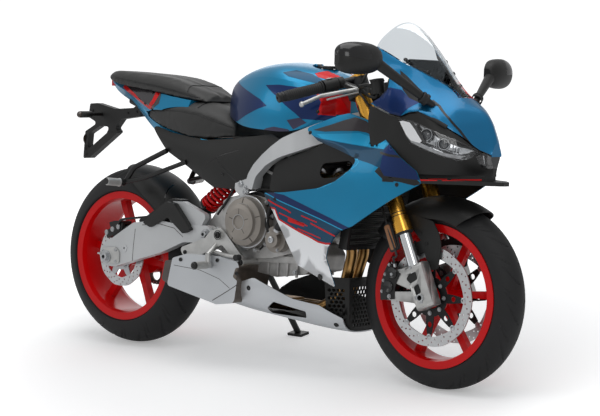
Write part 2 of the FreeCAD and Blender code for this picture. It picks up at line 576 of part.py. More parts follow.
# Rear brake caliper on its carrier plate beside the disc
rear_caliper = turned([(78, -104), (126, -104), (126, -60), (78, -60)], XR, REAR_R).common(
    side_prism([(XR, REAR_R), (XR - 70, REAR_R + 170), (XR + 30, REAR_R + 170)], -200, 0))
rear_caliper = rear_caliper.cut(turned([(60, -90.1), (116, -90.1), (116, -74.8), (60, -74.8)], XR, REAR_R))
carrier = side_prism([(XR - 22, REAR_R + 8, 8), (XR - 30, REAR_R + 90, 6), (XR + 16, REAR_R + 90, 6),
                      (XR + 24, REAR_R + 8, 8)], -103.8, -94)
rear_caliper = fuse(rear_caliper, carrier).cut(cross_pin(XR, REAR_R, 20, -120, 0)).cut(swingarm)

# Hugger: a thin guard over the front of the rear tyre with a wing beside the swingarm
hugger_profile = [(250, -99), (272, -98), (304, -80), (323, -44), (329, 0), (323, 44), (304, 80), (272, 98), (250, 99)]
hug_outer = [V(XR, y, REAR_R + r) for r, y in hugger_profile]
hug_inner = [V(XR, y * 0.965, REAR_R + r - 3 * (r / 329.0)) for r, y in hugger_profile]
hug_wire = Part.Wire([spline(hug_outer), Part.LineSegment(hug_outer[-1], hug_inner[-1]).toShape(),
                      spline(hug_inner[::-1]), Part.LineSegment(hug_inner[0], hug_outer[0]).toShape()])
hug_ring = Part.Face(hug_wire).revolve(V(XR, 0, REAR_R), V(0, 1, 0), 360)
hugger = hug_ring.common(side_prism([
    (-760, 668), (-700, 640, 40), (-600, 560, 60), (-520, 500, 40), (-440, 462), (-352, 456), (-340, 520),
    (-500, 700), (-700, 760)], -130, 130))
wing = side_prism([(-566, 452, 8), (-520, 470, 20), (-404, 540, 10), (-352, 540, 10), (-306, 470, 10), (-330, 456, 6),
                   (-396, 460, 10), (-420, 470, 20), (-460, 466, 20), (-530, 440, 20)], -134, -96)
wing = wing.cut(arch)
hugger = without(fuse(hugger, wing), swingarm)

# Shock absorber and its red spring, between the swingarm arch and the engine
shock_dir = (SHOCK_TOP - SHOCK_LOW).normalize()
shock_absorber = fuse(
    rod(SHOCK_LOW, SHOCK_TOP, 11), rod(SHOCK_TOP - shock_dir * 112, SHOCK_TOP - shock_dir * 36, 22),
    rod(SHOCK_LOW + shock_dir * 34, SHOCK_LOW + shock_dir * 42, 34),
    rod(SHOCK_TOP - shock_dir * 48, SHOCK_TOP - shock_dir * 40, 34),
    cross_pin(SHOCK_LOW.x, SHOCK_LOW.z, 15, -76, -44), cross_pin(SHOCK_TOP.x, SHOCK_TOP.z, 15, -76, -44),
    cross_pin(SHOCK_LOW.x, SHOCK_LOW.z, 6, -90, -30), cross_pin(SHOCK_TOP.x, SHOCK_TOP.z, 6, -90, -30))
spring_run = (SHOCK_TOP - SHOCK_LOW).Length
coil_profile = [(22.4, 42)]
coils = 7
pitch = (spring_run - 88) / coils
for i in range(coils):
    coil_profile += [(30, 42 + pitch * i + 2), (34, 42 + pitch * (i + 0.3)), (34, 42 + pitch * (i + 0.45)),
                     (26, 42 + pitch * (i + 0.85))]
coil_profile += [(22.4, 42 + pitch * coils)]
coil_face = Part.Face(Part.makePolygon([V(r, 0, h) for r, h in coil_profile + coil_profile[:1]]))
shock_spring = coil_face.revolve(V(0, 0, 0), V(0, 0, 1), 360)
spring_turn = V(0, 0, 1).cross(shock_dir)
shock_spring.rotate(V(0, 0, 0), spring_turn, math.degrees(V(0, 0, 1).getAngle(shock_dir)))
shock_spring.translate(SHOCK_LOW)
shock_spring = shock_spring.cut(shock_absorber)

# Rear subframe: two tube rails from the frame to the tail, with struts from the engine mounts
rail = bent_tube([V(-30, -112, 700), V(-200, -104, 735), V(-420, -84, 790), V(-690, -50, 872)], 12, 120)
strut = bent_tube([V(-70, -128, 640), V(-110, -112, 640), V(-300, -96, 700), V(-420, -84, 785)], 10, 60)
cross_ties = [cross_pin(-420, 790, 10, -84, 84), cross_pin(-660, 863, 9, -54, 54), cross_pin(-200, 735, 10, -104, 104)]
rear_subframe = fuse(rail, strut, mirrored(rail), mirrored(strut), *cross_ties)
rear_subframe = without(rear_subframe, main_frame)

# Fuel tank: wide shoulders, a narrow waist at the seat and a flat floor over the frame
tank_ribs = [
    (-204, (30, 940), (50, 924), (60, 880), (60, 842)),
    (-150, (50, 974), (88, 946), (106, 890), (108, 830)),
    (-60, (70, 1004), (122, 968), (148, 900), (150, 808)),
    (50, (85, 1017), (148, 974), (174, 890), (168, 800)),
    (150, (80, 1008), (144, 962), (170, 884), (166, 800)),
    (230, (70, 990), (116, 945), (148, 880), (140, 822)),
    (292, (48, 966), (84, 935), (100, 885), (92, 850)),
]
tank_tops = (944, 982, 1014, 1027, 1018, 999, 973)
tank_wires = []
for (x, top, shoulder, flank, hem), crest in zip(tank_ribs, tank_tops):
    tank_wires.append(body_section(x, [
        [(0, crest), (top[0] * 0.5, crest - (crest - top[1]) * 0.3), top, shoulder],
        [shoulder, flank, hem],
        [hem, (0, hem[1])],
    ]))
fuel_tank = loft(tank_wires)
fuel_tank = without(fuel_tank, main_frame)
CAP = V(176, 0, 1006)
CAP_HINGE = V(134, 0, 1018)
cap_recess = Part.makeCylinder(53, 60, CAP, V(0, 0, 1))
filler_neck = Part.makeCylinder(20, 60, V(CAP.x, 0, CAP.z - 40), V(0, 0, 1))
fuel_tank = fuel_tank.cut(cap_recess).cut(filler_neck)
ears = fuse(Part.makeBox(10, 6, 18, V(CAP_HINGE.x - 8, 12, CAP.z - 2)), cross_pin(CAP_HINGE.x, CAP_HINGE.z, 6, 12, 18))
ears = ears.cut(cross_pin(CAP_HINGE.x, CAP_HINGE.z, 3.0, 0, 30))
fuel_tank = fuse(fuel_tank, ears, mirrored(ears))
fuel_cap = fuse(
    Part.makeCylinder(37, 10, V(CAP.x, 0, CAP.z + 1), V(0, 0, 1)),
    Part.makeCylinder(18, 10, V(CAP.x, 0, CAP.z - 8), V(0, 0, 1)),
    cross_pin(CAP_HINGE.x, CAP_HINGE.z, 2.95, -18, 18),
    Part.makeBox(12, 18, 5, V(CAP_HINGE.x - 1, -9, CAP_HINGE.z - 6)),
    cross_pin(CAP_HINGE.x, CAP_HINGE.z, 5.5, -11.5, 11.5))

# Rider's seat and the pillion seat behind and above it
seat_wires = []
for x, crest, edge, half, low, low_half in (
        (-560, 872, 862, 104, 822, 100), (-480, 872, 860, 128, 790, 122), (-380, 878, 862, 142, 768, 134),
        (-290, 872, 854, 142, 756, 134), (-210, 848, 832, 126, 758, 122), (-140, 826, 812, 104, 766, 102)):
    seat_wires.append(body_section(x, [
        [(0, crest), (half * 0.55, crest + 1), (half * 0.86, edge + 2), (half, edge - 14)],
        [(half, edge - 14), (low_half, low)],
        [(low_half, low), (0, low)],
    ]))
rider_seat = loft(seat_wires)
pillion_wires = []
for x, crest, half, low in ((-826, 972, 40, 950), (-740, 976, 88, 930), (-640, 972, 108, 918), (-520, 964, 118, 906),
                            (-420, 946, 116, 892), (-340, 918, 108, 882), (-290, 896, 92, 878)):
    pillion_wires.append(body_section(x, [
        [(0, crest), (half * 0.6, crest - 1), (half * 0.9, crest - 10), (half, (crest + low) / 2)],
        [(half, (crest + low) / 2), (half * 0.94, low)],
        [(half * 0.94, low), (0, low)],
    ]))
pillion_seat = without(loft(pillion_wires), rider_seat)
rider_seat = without(rider_seat, fuel_tank, main_frame, rear_subframe)

# Tail: one body under the pillion seat that tapers up to the lamp
tail_wires = []
for x, high, low, half, low_half in ((-800, 950, 918, 40, 26), (-700, 928, 872, 78, 48), (-600, 916, 818, 108, 74),
                                     (-500, 904, 760, 126, 96), (-410, 892, 742, 138, 110), (-340, 884, 738, 142, 120)):
    tail_wires.append(body_section(x, [
        [(0, high), (half * 0.8, high)],
        [(half * 0.8, high), (half, high - (high - low) * 0.35)],
        [(half, high - (high - low) * 0.35), (low_half, low)],
        [(low_half, low), (0, low)],
    ]))
tail_fairing = loft(tail_wires)
tail_fairing = without(tail_fairing, pillion_seat, rider_seat, rear_subframe)
tail_lamp = plan_prism([(-818, -30, 6), (-818, 30, 6), (-792, 36, 4), (-792, -36, 4)], 922, 944)
tail_lamp = tail_lamp.cut(pillion_seat).cut(tail_fairing)

# Grey side covers under the seat, one long panel and a triangular one behind the frame beam
cover_ribs = []
for x, high, low, wide in ((-520, 800, 770, 122), (-430, 776, 690, 134), (-300, 762, 630, 146), (-160, 766, 575, 150),
                           (-60, 800, 600, 150), (40, 800, 640, 150), (130, 800, 700, 146)):
    points = [(-wide + 14, high), (-wide, high - (high - low) * 0.35), (-wide + 4, high - (high - low) * 0.7),
              (-wide + 16, low)]
    cover_ribs.append(shell_rib(x, points[::-1], -4))
cover = loft(cover_ribs)
cover = cover.common(side_prism([
    (-514, 792, 6), (-436, 704, 20), (-352, 668, 20), (-200, 592, 20), (-60, 592, 10), (-30, 640, 20), (20, 700, 30),
    (116, 762, 20), (60, 786, 20), (-100, 764, 30), (-240, 752, 30), (-420, 770, 30)], -220, 0))
cover = cover.cut(main_frame).cut(fuel_tank).cut(rider_seat).cut(tail_fairing)
side_covers = both(without(cover))

# Nose: one smooth bubble that the nose panel, the screen, the lamps and the dark mask are all cut from.
# Each row is one rib at its x, from the low edge of the right side up to the crest: low, lamp, widest, panel edge,
# flank, crease, screen foot, and three more up the screen.
bubble = [
    (470, (206, 690), (206, 780), (206, 850), (204, 903), (196, 975), (188, 1040), (168, 1105), (104, 1160), (52, 1184),
     (0, 1194)),
    (500, (205, 690), (204, 780), (203, 850), (200, 903), (190, 965), (178, 1030), (160, 1090), (100, 1137), (50, 1160),
     (0, 1169)),
    (540, (205, 690), (203, 780), (201, 840), (197, 893), (178, 955), (158, 1015), (140, 1058), (95, 1100), (48, 1128),
     (0, 1138)),
    (590, (203, 690), (198, 775), (194, 830), (190, 875), (160, 945), (125, 1001), (112, 1029), (78, 1062), (38, 1085),
     (0, 1092)),
    (625, (197, 690), (192, 770), (189, 820), (184, 866), (152, 922), (118, 971), (90, 1008), (60, 1034), (30, 1051),
     (0, 1057)),
    (660, (184, 690), (182, 765), (180, 815), (173, 874), (146, 904), (111, 942), (80, 975), (52, 998), (26, 1014),
     (0, 1021)),
    (703, (158, 690), (163, 755), (166, 805), (158, 868), (136, 888), (110, 912), (75, 937), (50, 954), (25, 968),
     (0, 976)),
    (744, (125, 690), (138, 750), (146, 797), (139, 834), (126, 862), (110, 884), (85, 904), (55, 921), (28, 932),
     (0, 937)),
    (790, (70, 690), (95, 735), (116, 770), (113, 797), (98, 834), (76, 864), (50, 888), (32, 898), (16, 904),
     (0, 906)),
    (825, (30, 690), (52, 725), (76, 765), (71, 797), (48, 834), (36, 852), (24, 866), (16, 874), (8, 879),
     (0, 881)),
    (852, (16, 690), (26, 730), (40, 765), (33, 792), (22, 812), (14, 824), (9, 831), (6, 835), (3, 838),
     (0, 839)),
    (867, (10, 690), (16, 726), (26, 756), (20, 774), (14, 784), (10, 790), (7, 793), (4, 795), (2, 796),
     (0, 796)),
]
half_marks = [0, 80, 145, 195, 260, 320, 365, 415, 460, 495]
ring_marks = half_marks + [990 - mark for mark in reversed(half_marks[:-1])]


def bubble_ring(points):
    """One section of the bubble, from its low right edge over the top to the low left one."""
    right = [(-y, z) for y, z in points]
    return right + [(-y, z) for y, z in right[-2::-1]]


def bubble_solid(inset):
    """The whole bubble as a solid, drawn in by an inset."""
    ribs = []
    for x, *points in bubble:
        crest = points[-1][1]
        shrink = 1 - inset / 190.0
        ring = [V(x - inset, y * shrink, z - inset * max(0, (z - 760) / (crest - 760.0)))
                for y, z in bubble_ring(points)]
        ribs.append(Part.Wire([spline(ring, ring_marks), Part.LineSegment(ring[-1], ring[0]).toShape()]))
    return loft(ribs)


screen_foot = [(537, 1061), (565, 1043), (595, 1026), (622, 1011), (647, 996), (673, 981), (703, 961), (722, 946),
               (738, 932)]
nose_low = [(900, 750), (866, 752), (845, 767), (828, 785), (813, 802), (794, 817), (768, 835), (740, 855), (711, 872),
            (676, 886), (649, 882), (622, 868), (585, 876), (550, 891), (516, 903)]
nose_rear = [(543, 922, 10), (561, 950, 10), (556, 980), (546, 1014, 10), (503, 1060)]
bubble_inside = bubble_solid(4.0)
wall = bubble_solid(0).cut(bubble_inside)
nose_fairing = wall.common(side_prism([(503, 1083)] + screen_foot + [(760, 930), (900, 900)] + nose_low + nose_rear,
                                      -300, 300))
windscreen = bubble_solid(0).cut(bubble_solid(3.2)).common(
    side_prism([(503, 1240), (503, 1083)] + screen_foot + [(760, 932), (760, 1240)], -300, 300))
lamp_top = [(617, 858), (656, 856), (688, 845), (719, 831), (747, 818), (786, 801), (816, 784), (836, 768)]
lamp_low = [(820, 748), (803, 740), (786, 736), (771, 743), (747, 750), (721, 761), (693, 772), (663, 786), (641, 816)]
centre_lamp = [(831, 754), (847, 763), (900, 752), (900, 722), (843, 712), (832, 722)]
lamp_prisms = [side_prism(lamp_top + lamp_low, -300, 300), side_prism(centre_lamp, -300, 300)]
lamp_depth = bubble_inside.cut(bubble_solid(34.0))
headlamps = lamp_depth.common(lamp_prisms[0].fuse(lamp_prisms[1]))
mask_area = [(510, 897, 4), (550, 884), (585, 870), (622, 862), (649, 876), (676, 880), (711, 866), (740, 849), (768, 829),
             (794, 811), (828, 779), (845, 761), (900, 744), (900, 690), (600, 690), (560, 720), (520, 780), (508, 850)]
chin_duct = bubble_inside.cut(bubble_solid(8.0)).common(side_prism(mask_area, -300, 300)).cut(headlamps)
lip = plan_prism([(908, -16, 10), (908, 16, 10), (866, 62, 30), (819, 84, 60), (771, 118, 60), (724, 160, 60),
                  (690, 196, 40), (588, 222, 4), (588, 206, 4), (680, 176, 40), (740, 110, 60), (800, 40, 30),
                  (800, -40, 30), (740, -110, 60), (680, -176, 40), (588, -206, 4), (588, -222, 4), (690, -196, 40),
                  (724, -160, 60), (771, -118, 60), (819, -84, 60), (866, -62, 30)], 662, 675)
under = loft([
    Part.makePolygon([V(640, -150, 690), V(640, 150, 690), V(640, 150, 675), V(640, -150, 675), V(640, -150, 690)]),
    Part.makePolygon([V(846, -30, 690), V(846, 30, 690), V(846, 30, 675), V(846, -30, 675), V(846, -30, 690)])])
chin_spoiler = without(fuse(lip, under), headlamps, chin_duct)

# Side fairings: a smooth flank with a window behind the frame, and a long tail down to the belly
flank_points = (
        (60, ((170, 900), (176, 800), (182, 700), (186, 600), (186, 500), (180, 400), (168, 280))),
        (160, ((158, 900), (184, 800), (196, 700), (200, 600), (194, 500), (182, 400), (166, 280))),
        (280, ((130, 900), (186, 800), (206, 700), (208, 600), (200, 500), (184, 400), (164, 280))),
        (400, ((110, 900), (184, 800), (212, 700), (214, 600), (204, 500), (184, 400), (160, 280))),
        (520, ((140, 900), (188, 800), (216, 700), (216, 600), (204, 500), (180, 400), (154, 280))),
        (640, ((170, 900), (190, 800), (208, 700), (208, 600), (196, 500), (170, 400), (140, 280))),
        (740, ((140, 900), (150, 800), (176, 700), (184, 600), (176, 500), (150, 400), (120, 280))))
flank_wall = loft([shell_rib(x, [(-y, z) for y, z in points[::-1]], -4, [0, 120, 220, 320, 420, 520, 620])
                   for x, points in flank_points])
flank_area = [
    (239, 812, 8), (300, 838, 30), (350, 860, 30), (384, 868, 10), (478, 850, 30), (523, 828, 30), (580, 790, 30),
    (640, 742, 30), (700, 700, 10), (719, 662, 10), (620, 606, 60), (466, 512, 40), (412, 492, 20), (358, 436, 20),
    (345, 400, 30), (373, 305, 4), (221, 366, 10), (162, 470, 60), (124, 530, 60), (74, 592, 4), (180, 602, 60),
    (324, 624, 60), (395, 650, 60), (455, 690, 30), (479, 726, 12), (400, 750, 60), (302, 776, 20)]
side_fairing = flank_wall.common(side_prism(flank_area, -300, 0)).cut(chin_duct).cut(headlamps).cut(chin_spoiler)
side_fairing = side_fairing.cut(nose_fairing)
side_fairings = both(without(side_fairing))

# Dark inner panels that close the fairing window, with the air duct behind the lamps
inner_area = [(64, 598, 10), (150, 596, 30), (330, 618, 40), (430, 660, 40), (486, 724, 30), (430, 764, 30),
              (300, 786, 20), (292, 764, 10), (190, 728, 60), (90, 694, 30), (70, 640, 20)]
inner_panel = side_prism(inner_area, -150, -144)
vent = side_prism([(270, 650, 20), (350, 660, 20), (420, 700, 20), (400, 716, 20), (290, 702, 20)], -152, -140)
inner_panel = inner_panel.cut(vent).cut(main_frame)
inner_panels = both(inner_panel)

# Radiator with its fins, ahead of the cylinders and clear of the wheel at full lock
radiator_core = front_prism([(-142, 430, 8), (-142, 636, 8), (142, 636, 8), (142, 430, 8)], 0, 30)
fins = []
for i in range(9):
    fins.append(Part.makeBox(6, 268, 8, V(27, -134, 440 + i * 21)))
radiator_core = fuse(radiator_core, *fins)
radiator_core.rotate(V(0, 0, 430), V(0, 1, 0), 8)
radiator_core.translate(V(366, 0, 0))
radiator_stays = [rod(V(140, side * 96, 600), V(388, side * 96, 600), 7) for side in (1, -1)]
radiator = without(fuse(radiator_core, *radiator_stays), exhaust_pipes, engine_block)

# Belly pan and the honeycomb guard at its front
belly_ribs = []
for x, high, low, wide in ((-130, 280, 204, 160), (-40, 300, 192, 164), (80, 300, 180, 164), (200, 280, 168, 158),
                           (300, 250, 156, 140), (366, 230, 150, 112)):
    points = [(-wide, high), (-wide + 3, high - (high - low) * 0.5), (-wide + 34, low + 8), (-wide * 0.4, low),
              (0, low - 2), (wide * 0.4, low), (wide - 34, low + 8), (wide - 3, high - (high - low) * 0.5), (wide, high)]
    belly_ribs.append(shell_rib(x, points[::-1], -4))
belly_pan = loft(belly_ribs)
belly_area = [(-128, 240, 4), (-88, 268, 6), (20, 305, 10), (190, 250, 20), (290, 238, 20), (366, 200, 6), (366, 140, 4),
              (150, 140), (-128, 180, 4)]
belly_pan = belly_pan.common(side_prism(belly_area, -300, 300))
belly_pan = belly_pan.cut(side_prism([(84, 190, 6), (70, 206, 6), (106, 232, 6), (240, 212, 6), (236, 190, 6)], -200, -100))
belly_pan = without(belly_pan, silencer, exhaust_pipes)
guard_outer = loft([
    Part.makePolygon([V(x, y, 152) for x, y in ((300, -110), (362, -70), (362, 70), (300, 110), (300, -110))]),
    Part.makePolygon([V(x, y, 330) for x, y in ((296, -128), (366, -84), (366, 84), (296, 128), (296, -128))])])
guard_inner = loft([
    Part.makePolygon([V(x, y, 148) for x, y in ((280, -104), (356, -66), (356, 66), (280, 104), (280, -104))]),
    Part.makePolygon([V(x, y, 334) for x, y in ((276, -122), (360, -80), (360, 80), (276, 122), (276, -122))])])
belly_guard = without(guard_outer.cut(guard_inner), belly_pan, exhaust_pipes)

# Instrument panel on its bracket in front of the steering head
dash = Part.makeBox(18, 176, 108, V(-9, -88, -54))
dash = dash.makeFillet(7, dash.Edges)
dash.rotate(V(0, 0, 0), V(0, 1, 0), -32)
dash.translate(V(598, 0, 1000))
dash_arm = bent_tube([V(470, 0, 868), V(560, 0, 880), V(590, 0, 985)], 14, 40)
dash_head = Part.makeBox(60, 40, 16, V(452, -20, 856))
instrument_panel = dash.common(bubble_inside)
nose_stay = fuse(bent_tube([V(560, 0, 890), V(640, 0, 890), V(720, 0, 900), V(800, 0, 940)], 10, 60),
                 cross_pin(640, 890, 9, -220, 220)).common(bubble_inside)
front_bracket = without(fuse(dash_arm, dash_head, nose_stay), main_frame, dash, headlamps, chin_duct)
fairing_studs = [cross_pin(290, 806, 8, -260, -100), cross_pin(112, 566, 8, -260, -100)]
inside_flank = loft([Part.makePolygon([V(x, -y + 4, z) for y, z in points] + [V(x, 0, points[-1][1]),
                                       V(x, 0, points[0][1]), V(x, -points[0][0] + 4, points[0][1])])
                     for x, points in flank_points])
stud_pieces = []
for stud in fairing_studs:
    kept = stud.common(inside_flank).cut(side_fairing).cut(main_frame).cut(engine_block)
    longest = max(kept.Solids, key=lambda piece: piece.Volume)
    stud_pieces += [longest, mirrored(longest)]


def mirror(side, centre, root):
    """A mirror: a bulged housing with a flat back for the glass, and its tapered arm down to the nose."""
    wires = []
    for y, depth, half in ((84, 8, 14), (64, 26, 36), (14, 40, 47), (-40, 38, 47), (-70, 26, 38), (-84, 8, 20)):
        y = -side * y
        wires.append(Part.Wire([
            spline([V(-16, y, half), V(depth * 0.7, y, half * 0.74), V(depth, y, 0), V(depth * 0.7, y, -half * 0.74),
                    V(-16, y, -half)]),
            Part.LineSegment(V(-16, y, -half), V(-16, y, half)).toShape()]))
    housing = loft(wires)
    housing.rotate(V(0, 0, 0), V(0, 0, 1), 14 * side)
    housing.translate(centre)
    inner_end = centre + V(14, -side * 58, -8)
    arm = Part.makeCone(10, 18, root.distanceToPoint(inner_end), root, inner_end - root)
    return fuse(housing, arm)


mirror_right = mirror(-1, V(578, -342, 1043), V(700, -118, 906))
mirror_left = mirror(1, V(606, 362, 1012), V(690, 118, 912))
bubble_whole = bubble_solid(0)
mirrors = Part.makeCompound([without(mirror_right, bubble_whole), without(mirror_left, bubble_whole)])

# Footrest plates, pegs and the two pedals
hanger = side_prism([(-176, 446, 14), (-130, 462, 16), (-96, 436, 10), (-10, 354, 14), (-34, 330, 14), (-120, 404, 14),
                     (-220, 360, 10), (-300, 352, 14), (-316, 378, 14), (-200, 420, 20)], -172, -160)
hanger = fuse(hanger, cross_pin(-132, 436, 16, -182, -100), cross_pin(-26, 352, 13, -180, -88))
peg = fuse(rod(V(-152, -197, 334), V(-158, -272, 334), 11), rod(V(-152, -206, 334), V(-152, -205, 372), 9),
           rod(V(-152, -208, 368), V(-150, -162, 404), 9))
pedal = fuse(bent_tube([V(-150, -180, 378), V(-70, -204, 374), V(-4, -208, 372)], 6, 40),
             rod(V(-4, -200, 372), V(-4, -232, 372), 8))
footrest_right = fuse(hanger, peg)
footrest_right = without(footrest_right, clutch_cover, swingarm, silencer)
brake_pedal = without(pedal, footrest_right)
left_hanger = mirrored(fuse(hanger, peg)).cut(Part.makeBox(140, 30, 140, V(-200, 98, 380)))
footrest_left = without(left_hanger, sprocket_cover, swingarm, engine_block)
footrest_right = without(footrest_right, engine_block)
footrests = Part.makeCompound([footrest_right, footrest_left])
pedals = Part.makeCompound([brake_pedal, mirrored(brake_pedal)])

# Pillion footrests on long hangers under the seat
hanger_rear = bent_tube([V(-430, -132, 706), V(-560, -160, 640), V(-594, -166, 588), V(-600, -180, 580)], 9, 40)
hanger_rear = fuse(hanger_rear, bent_tube([V(-330, -138, 672), V(-500, -156, 610), V(-594, -166, 588)], 8, 40),
                   rod(V(-600, -168, 584), V(-610, -246, 590), 11))
pillion_footrests = without(both(hanger_rear), side_covers)

# Number plate arm with its open hanging frame, and the rear indicators
arm_plate = side_prism([(-680, 866, 4), (-682, 816, 4), (-778, 802, 8), (-808, 768, 6), (-792, 755, 6), (-939, 652, 6),
                        (-971, 650, 6), (-964, 750, 6), (-902, 783, 8), (-950, 803, 6), (-942, 853, 6), (-905, 856, 10),
                        (-811, 838, 20), (-719, 845, 6)], -14, 14)
frame_window = side_prism([(-951, 680, 6), (-945, 742, 6), (-890, 772, 8), (-838, 772, 8), (-852, 748, 6)], -20, 20)
plate_bar = Part.makeBox(6, 150, 20, V(-3, -75, -10))
plate_bar.rotate(V(0, 0, 0), V(0, 1, 0), -6)
plate_bar.translate(V(-960, 0, 690))
plate_bracket = without(fuse(arm_plate.cut(frame_window), plate_bar), tail_fairing)
indicator = fuse(rod(V(-880, -8, 816), V(-880, -78, 815), 6), rod(V(-880, -70, 815), V(-880, -124, 814), 12))
indicators = both(without(indicator, plate_bracket))

# Side stand: it swings back from under the left of the engine
LEAN_TAN = math.tan(math.radians(LEAN))
STAND_PIVOT = V(-205, 134, 330)
STAND_FOOT = V(-172, 312, 312 * LEAN_TAN)
STAND_FOLDED = V(-505, 184, 290)
stand_down = (STAND_FOOT - STAND_PIVOT).normalize()
stand_back = (STAND_FOLDED - STAND_PIVOT).normalize()
stand_axis = stand_down.cross(stand_back).normalize()
stand_lug = fuse(rod(STAND_PIVOT - stand_axis * 9.5, STAND_PIVOT - stand_axis * 24, 20),
                 rod(STAND_PIVOT - stand_axis * 16, V(-190, 70, 370), 14))
stand_lug = stand_lug.cut(rod(STAND_PIVOT - stand_axis * 9.2, STAND_PIVOT + stand_axis * 30, 40))
stand_lug = fuse(stand_lug, rod(STAND_PIVOT - stand_axis * 12, STAND_PIVOT + stand_axis * 11, 7.92),
                 rod(STAND_PIVOT + stand_axis * 9.2, STAND_PIVOT + stand_axis * 15, 13))
stand_bracket = without(stand_lug, engine_block, exhaust_pipes, silencer)
stand_eye = rod(STAND_PIVOT - stand_axis * 8.5, STAND_PIVOT + stand_axis * 8.5, 19)
stand_leg = rod(STAND_PIVOT + stand_down * 8, STAND_FOOT - stand_down * 8, 11)
stand_leg = stand_leg.cut(rod(STAND_PIVOT - stand_axis * 8.7, STAND_PIVOT - stand_axis * 30, 26))
stand_leg = stand_leg.cut(rod(STAND_PIVOT + stand_axis * 8.7, STAND_PIVOT + stand_axis * 30, 18))
foot_pad = Part.makeBox(64, 44, 30, V(STAND_FOOT.x - 32, -22, 0))
foot_pad.rotate(V(0, 0, 0), V(1, 0, 0), LEAN)
foot_pad.translate(V(0, STAND_FOOT.y, STAND_FOOT.z - 22))
side_stand = fuse(stand_eye, stand_leg, foot_pad)
side_stand = side_stand.cut(rod(STAND_PIVOT - stand_axis * 30, STAND_PIVOT + stand_axis * 30, 8.0))

# The bike leans to its left and settles on both tyres and the foot of the stand
LEAN_RAD = math.radians(LEAN)
FRONT_CROWN, REAR_CROWN = 60.0, 90.0
front_lift = FRONT_CROWN * (1 - math.cos(LEAN_RAD))
rear_lift = REAR_CROWN * (1 - math.cos(LEAN_RAD))
PITCH = math.degrees(math.atan((rear_lift - front_lift) / WHEELBASE))
LIFT = (front_lift + rear_lift) / 2


def parked(shape):
    """Takes an upright shape to where it is when the bike stands parked."""
    placed = shape.copy()
    placed.rotate(V(0, 0, 0), V(1, 0, 0), -LEAN)
    placed.rotate(V(0, 0, 0), V(0, 1, 0), PITCH)
    placed.translate(V(ORIGIN_X, -ORIGIN_Y, LIFT))
    return placed


below_floor = Part.makeBox(4000, 4000, 200, V(-2000, -2000, -200))

pieces = {
    "main_frame": main_frame,
    "rear_subframe": rear_subframe,
    "engine_block": engine_block,
    "engine_covers": Part.makeCompound([clutch_cover, sprocket_cover, front_sprocket]),
    "exhaust_pipes": exhaust_pipes,
    "silencer": Part.makeCompound([silencer, silencer_end]),
    "radiator": radiator,
    "swingarm": swingarm,
    "swingarm_pivot": swingarm_pivot,
    "rear_axle": rear_axle,
    "rear_caliper": rear_caliper,
    "rear_hugger": hugger,
    "chain": chain,
    "shock_absorber": shock_absorber,
    "shock_spring": shock_spring,
    "fuel_tank": fuel_tank,
    "fuel_cap": fuel_cap,
    "rider_seat": rider_seat,
    "pillion_seat": pillion_seat,
    "tail_fairing": tail_fairing,
    "tail_lamp": tail_lamp,
    "side_covers": side_covers,
    "side_fairings": side_fairings,
    "inner_panels": inner_panels,
    "belly_pan": belly_pan,
    "belly_guard": belly_guard,
    "nose_fairing": nose_fairing,
    "windscreen": windscreen,
    "headlamps": headlamps,
    "chin_spoiler": Part.makeCompound([chin_spoiler, chin_duct]),
    "instrument_panel": instrument_panel,
    "front_bracket": Part.makeCompound([front_bracket] + stud_pieces),
    "mirrors": mirrors,
    "footrests": Part.makeCompound([footrests, pedals]),
    "pillion_footrests": pillion_footrests,
    "plate_bracket": Part.makeCompound([plate_bracket, indicators]),
    "stand_bracket": stand_bracket,
    "front_axle": front_axle,
    "fork_sliders": fork_sliders,
    "fork_tubes": fork_tubes,
    "fork_feet": fork_feet,
    "front_calipers": front_calipers,
    "lower_yoke": lower_yoke,
    "top_yoke": top_yoke,
    "handlebars": handlebars,
    "grips": grips,
    "bar_controls": Part.makeCompound([switchgear, control_levers, brake_reservoir]),
    "front_mudguard": front_mudguard,
    "front_rim": front_rim,
    "front_tyre": front_tyre,
    "front_discs": front_discs,
    "rear_rim": rear_rim,
    "rear_tyre": rear_tyre,
    "rear_disc": rear_disc,
    "rear_sprocket": rear_sprocket,
    "side_stand": side_stand,
}

os.makedirs("parts", exist_ok=True)
for name, shape in pieces.items():
    placed = parked(shape)
    if name == "side_stand":
        placed = placed.cut(below_floor)
    placed.exportStep("parts/" + name + ".step")
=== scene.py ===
import json
import math

import bmesh
import bpy
from mathutils import Matrix, Vector
from mathutils.bvhtree import BVHTree
from mathutils.geometry import delaunay_2d_cdt
from mathutils.kdtree import KDTree


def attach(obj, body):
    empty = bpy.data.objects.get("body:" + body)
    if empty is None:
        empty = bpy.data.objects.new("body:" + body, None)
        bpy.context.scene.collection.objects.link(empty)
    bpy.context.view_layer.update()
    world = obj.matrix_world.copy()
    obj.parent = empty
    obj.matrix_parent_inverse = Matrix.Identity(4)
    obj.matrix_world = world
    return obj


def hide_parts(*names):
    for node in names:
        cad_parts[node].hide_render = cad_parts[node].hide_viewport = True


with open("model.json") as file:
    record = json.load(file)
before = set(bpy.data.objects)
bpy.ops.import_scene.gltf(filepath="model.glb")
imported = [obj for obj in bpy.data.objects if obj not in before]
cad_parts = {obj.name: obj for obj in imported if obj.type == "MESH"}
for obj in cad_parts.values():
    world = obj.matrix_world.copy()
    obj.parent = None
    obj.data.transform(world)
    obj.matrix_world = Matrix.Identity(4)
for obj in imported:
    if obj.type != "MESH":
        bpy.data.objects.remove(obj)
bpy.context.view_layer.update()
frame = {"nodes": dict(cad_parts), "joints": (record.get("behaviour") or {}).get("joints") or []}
scene = bpy.context.scene
nodes = frame["nodes"]

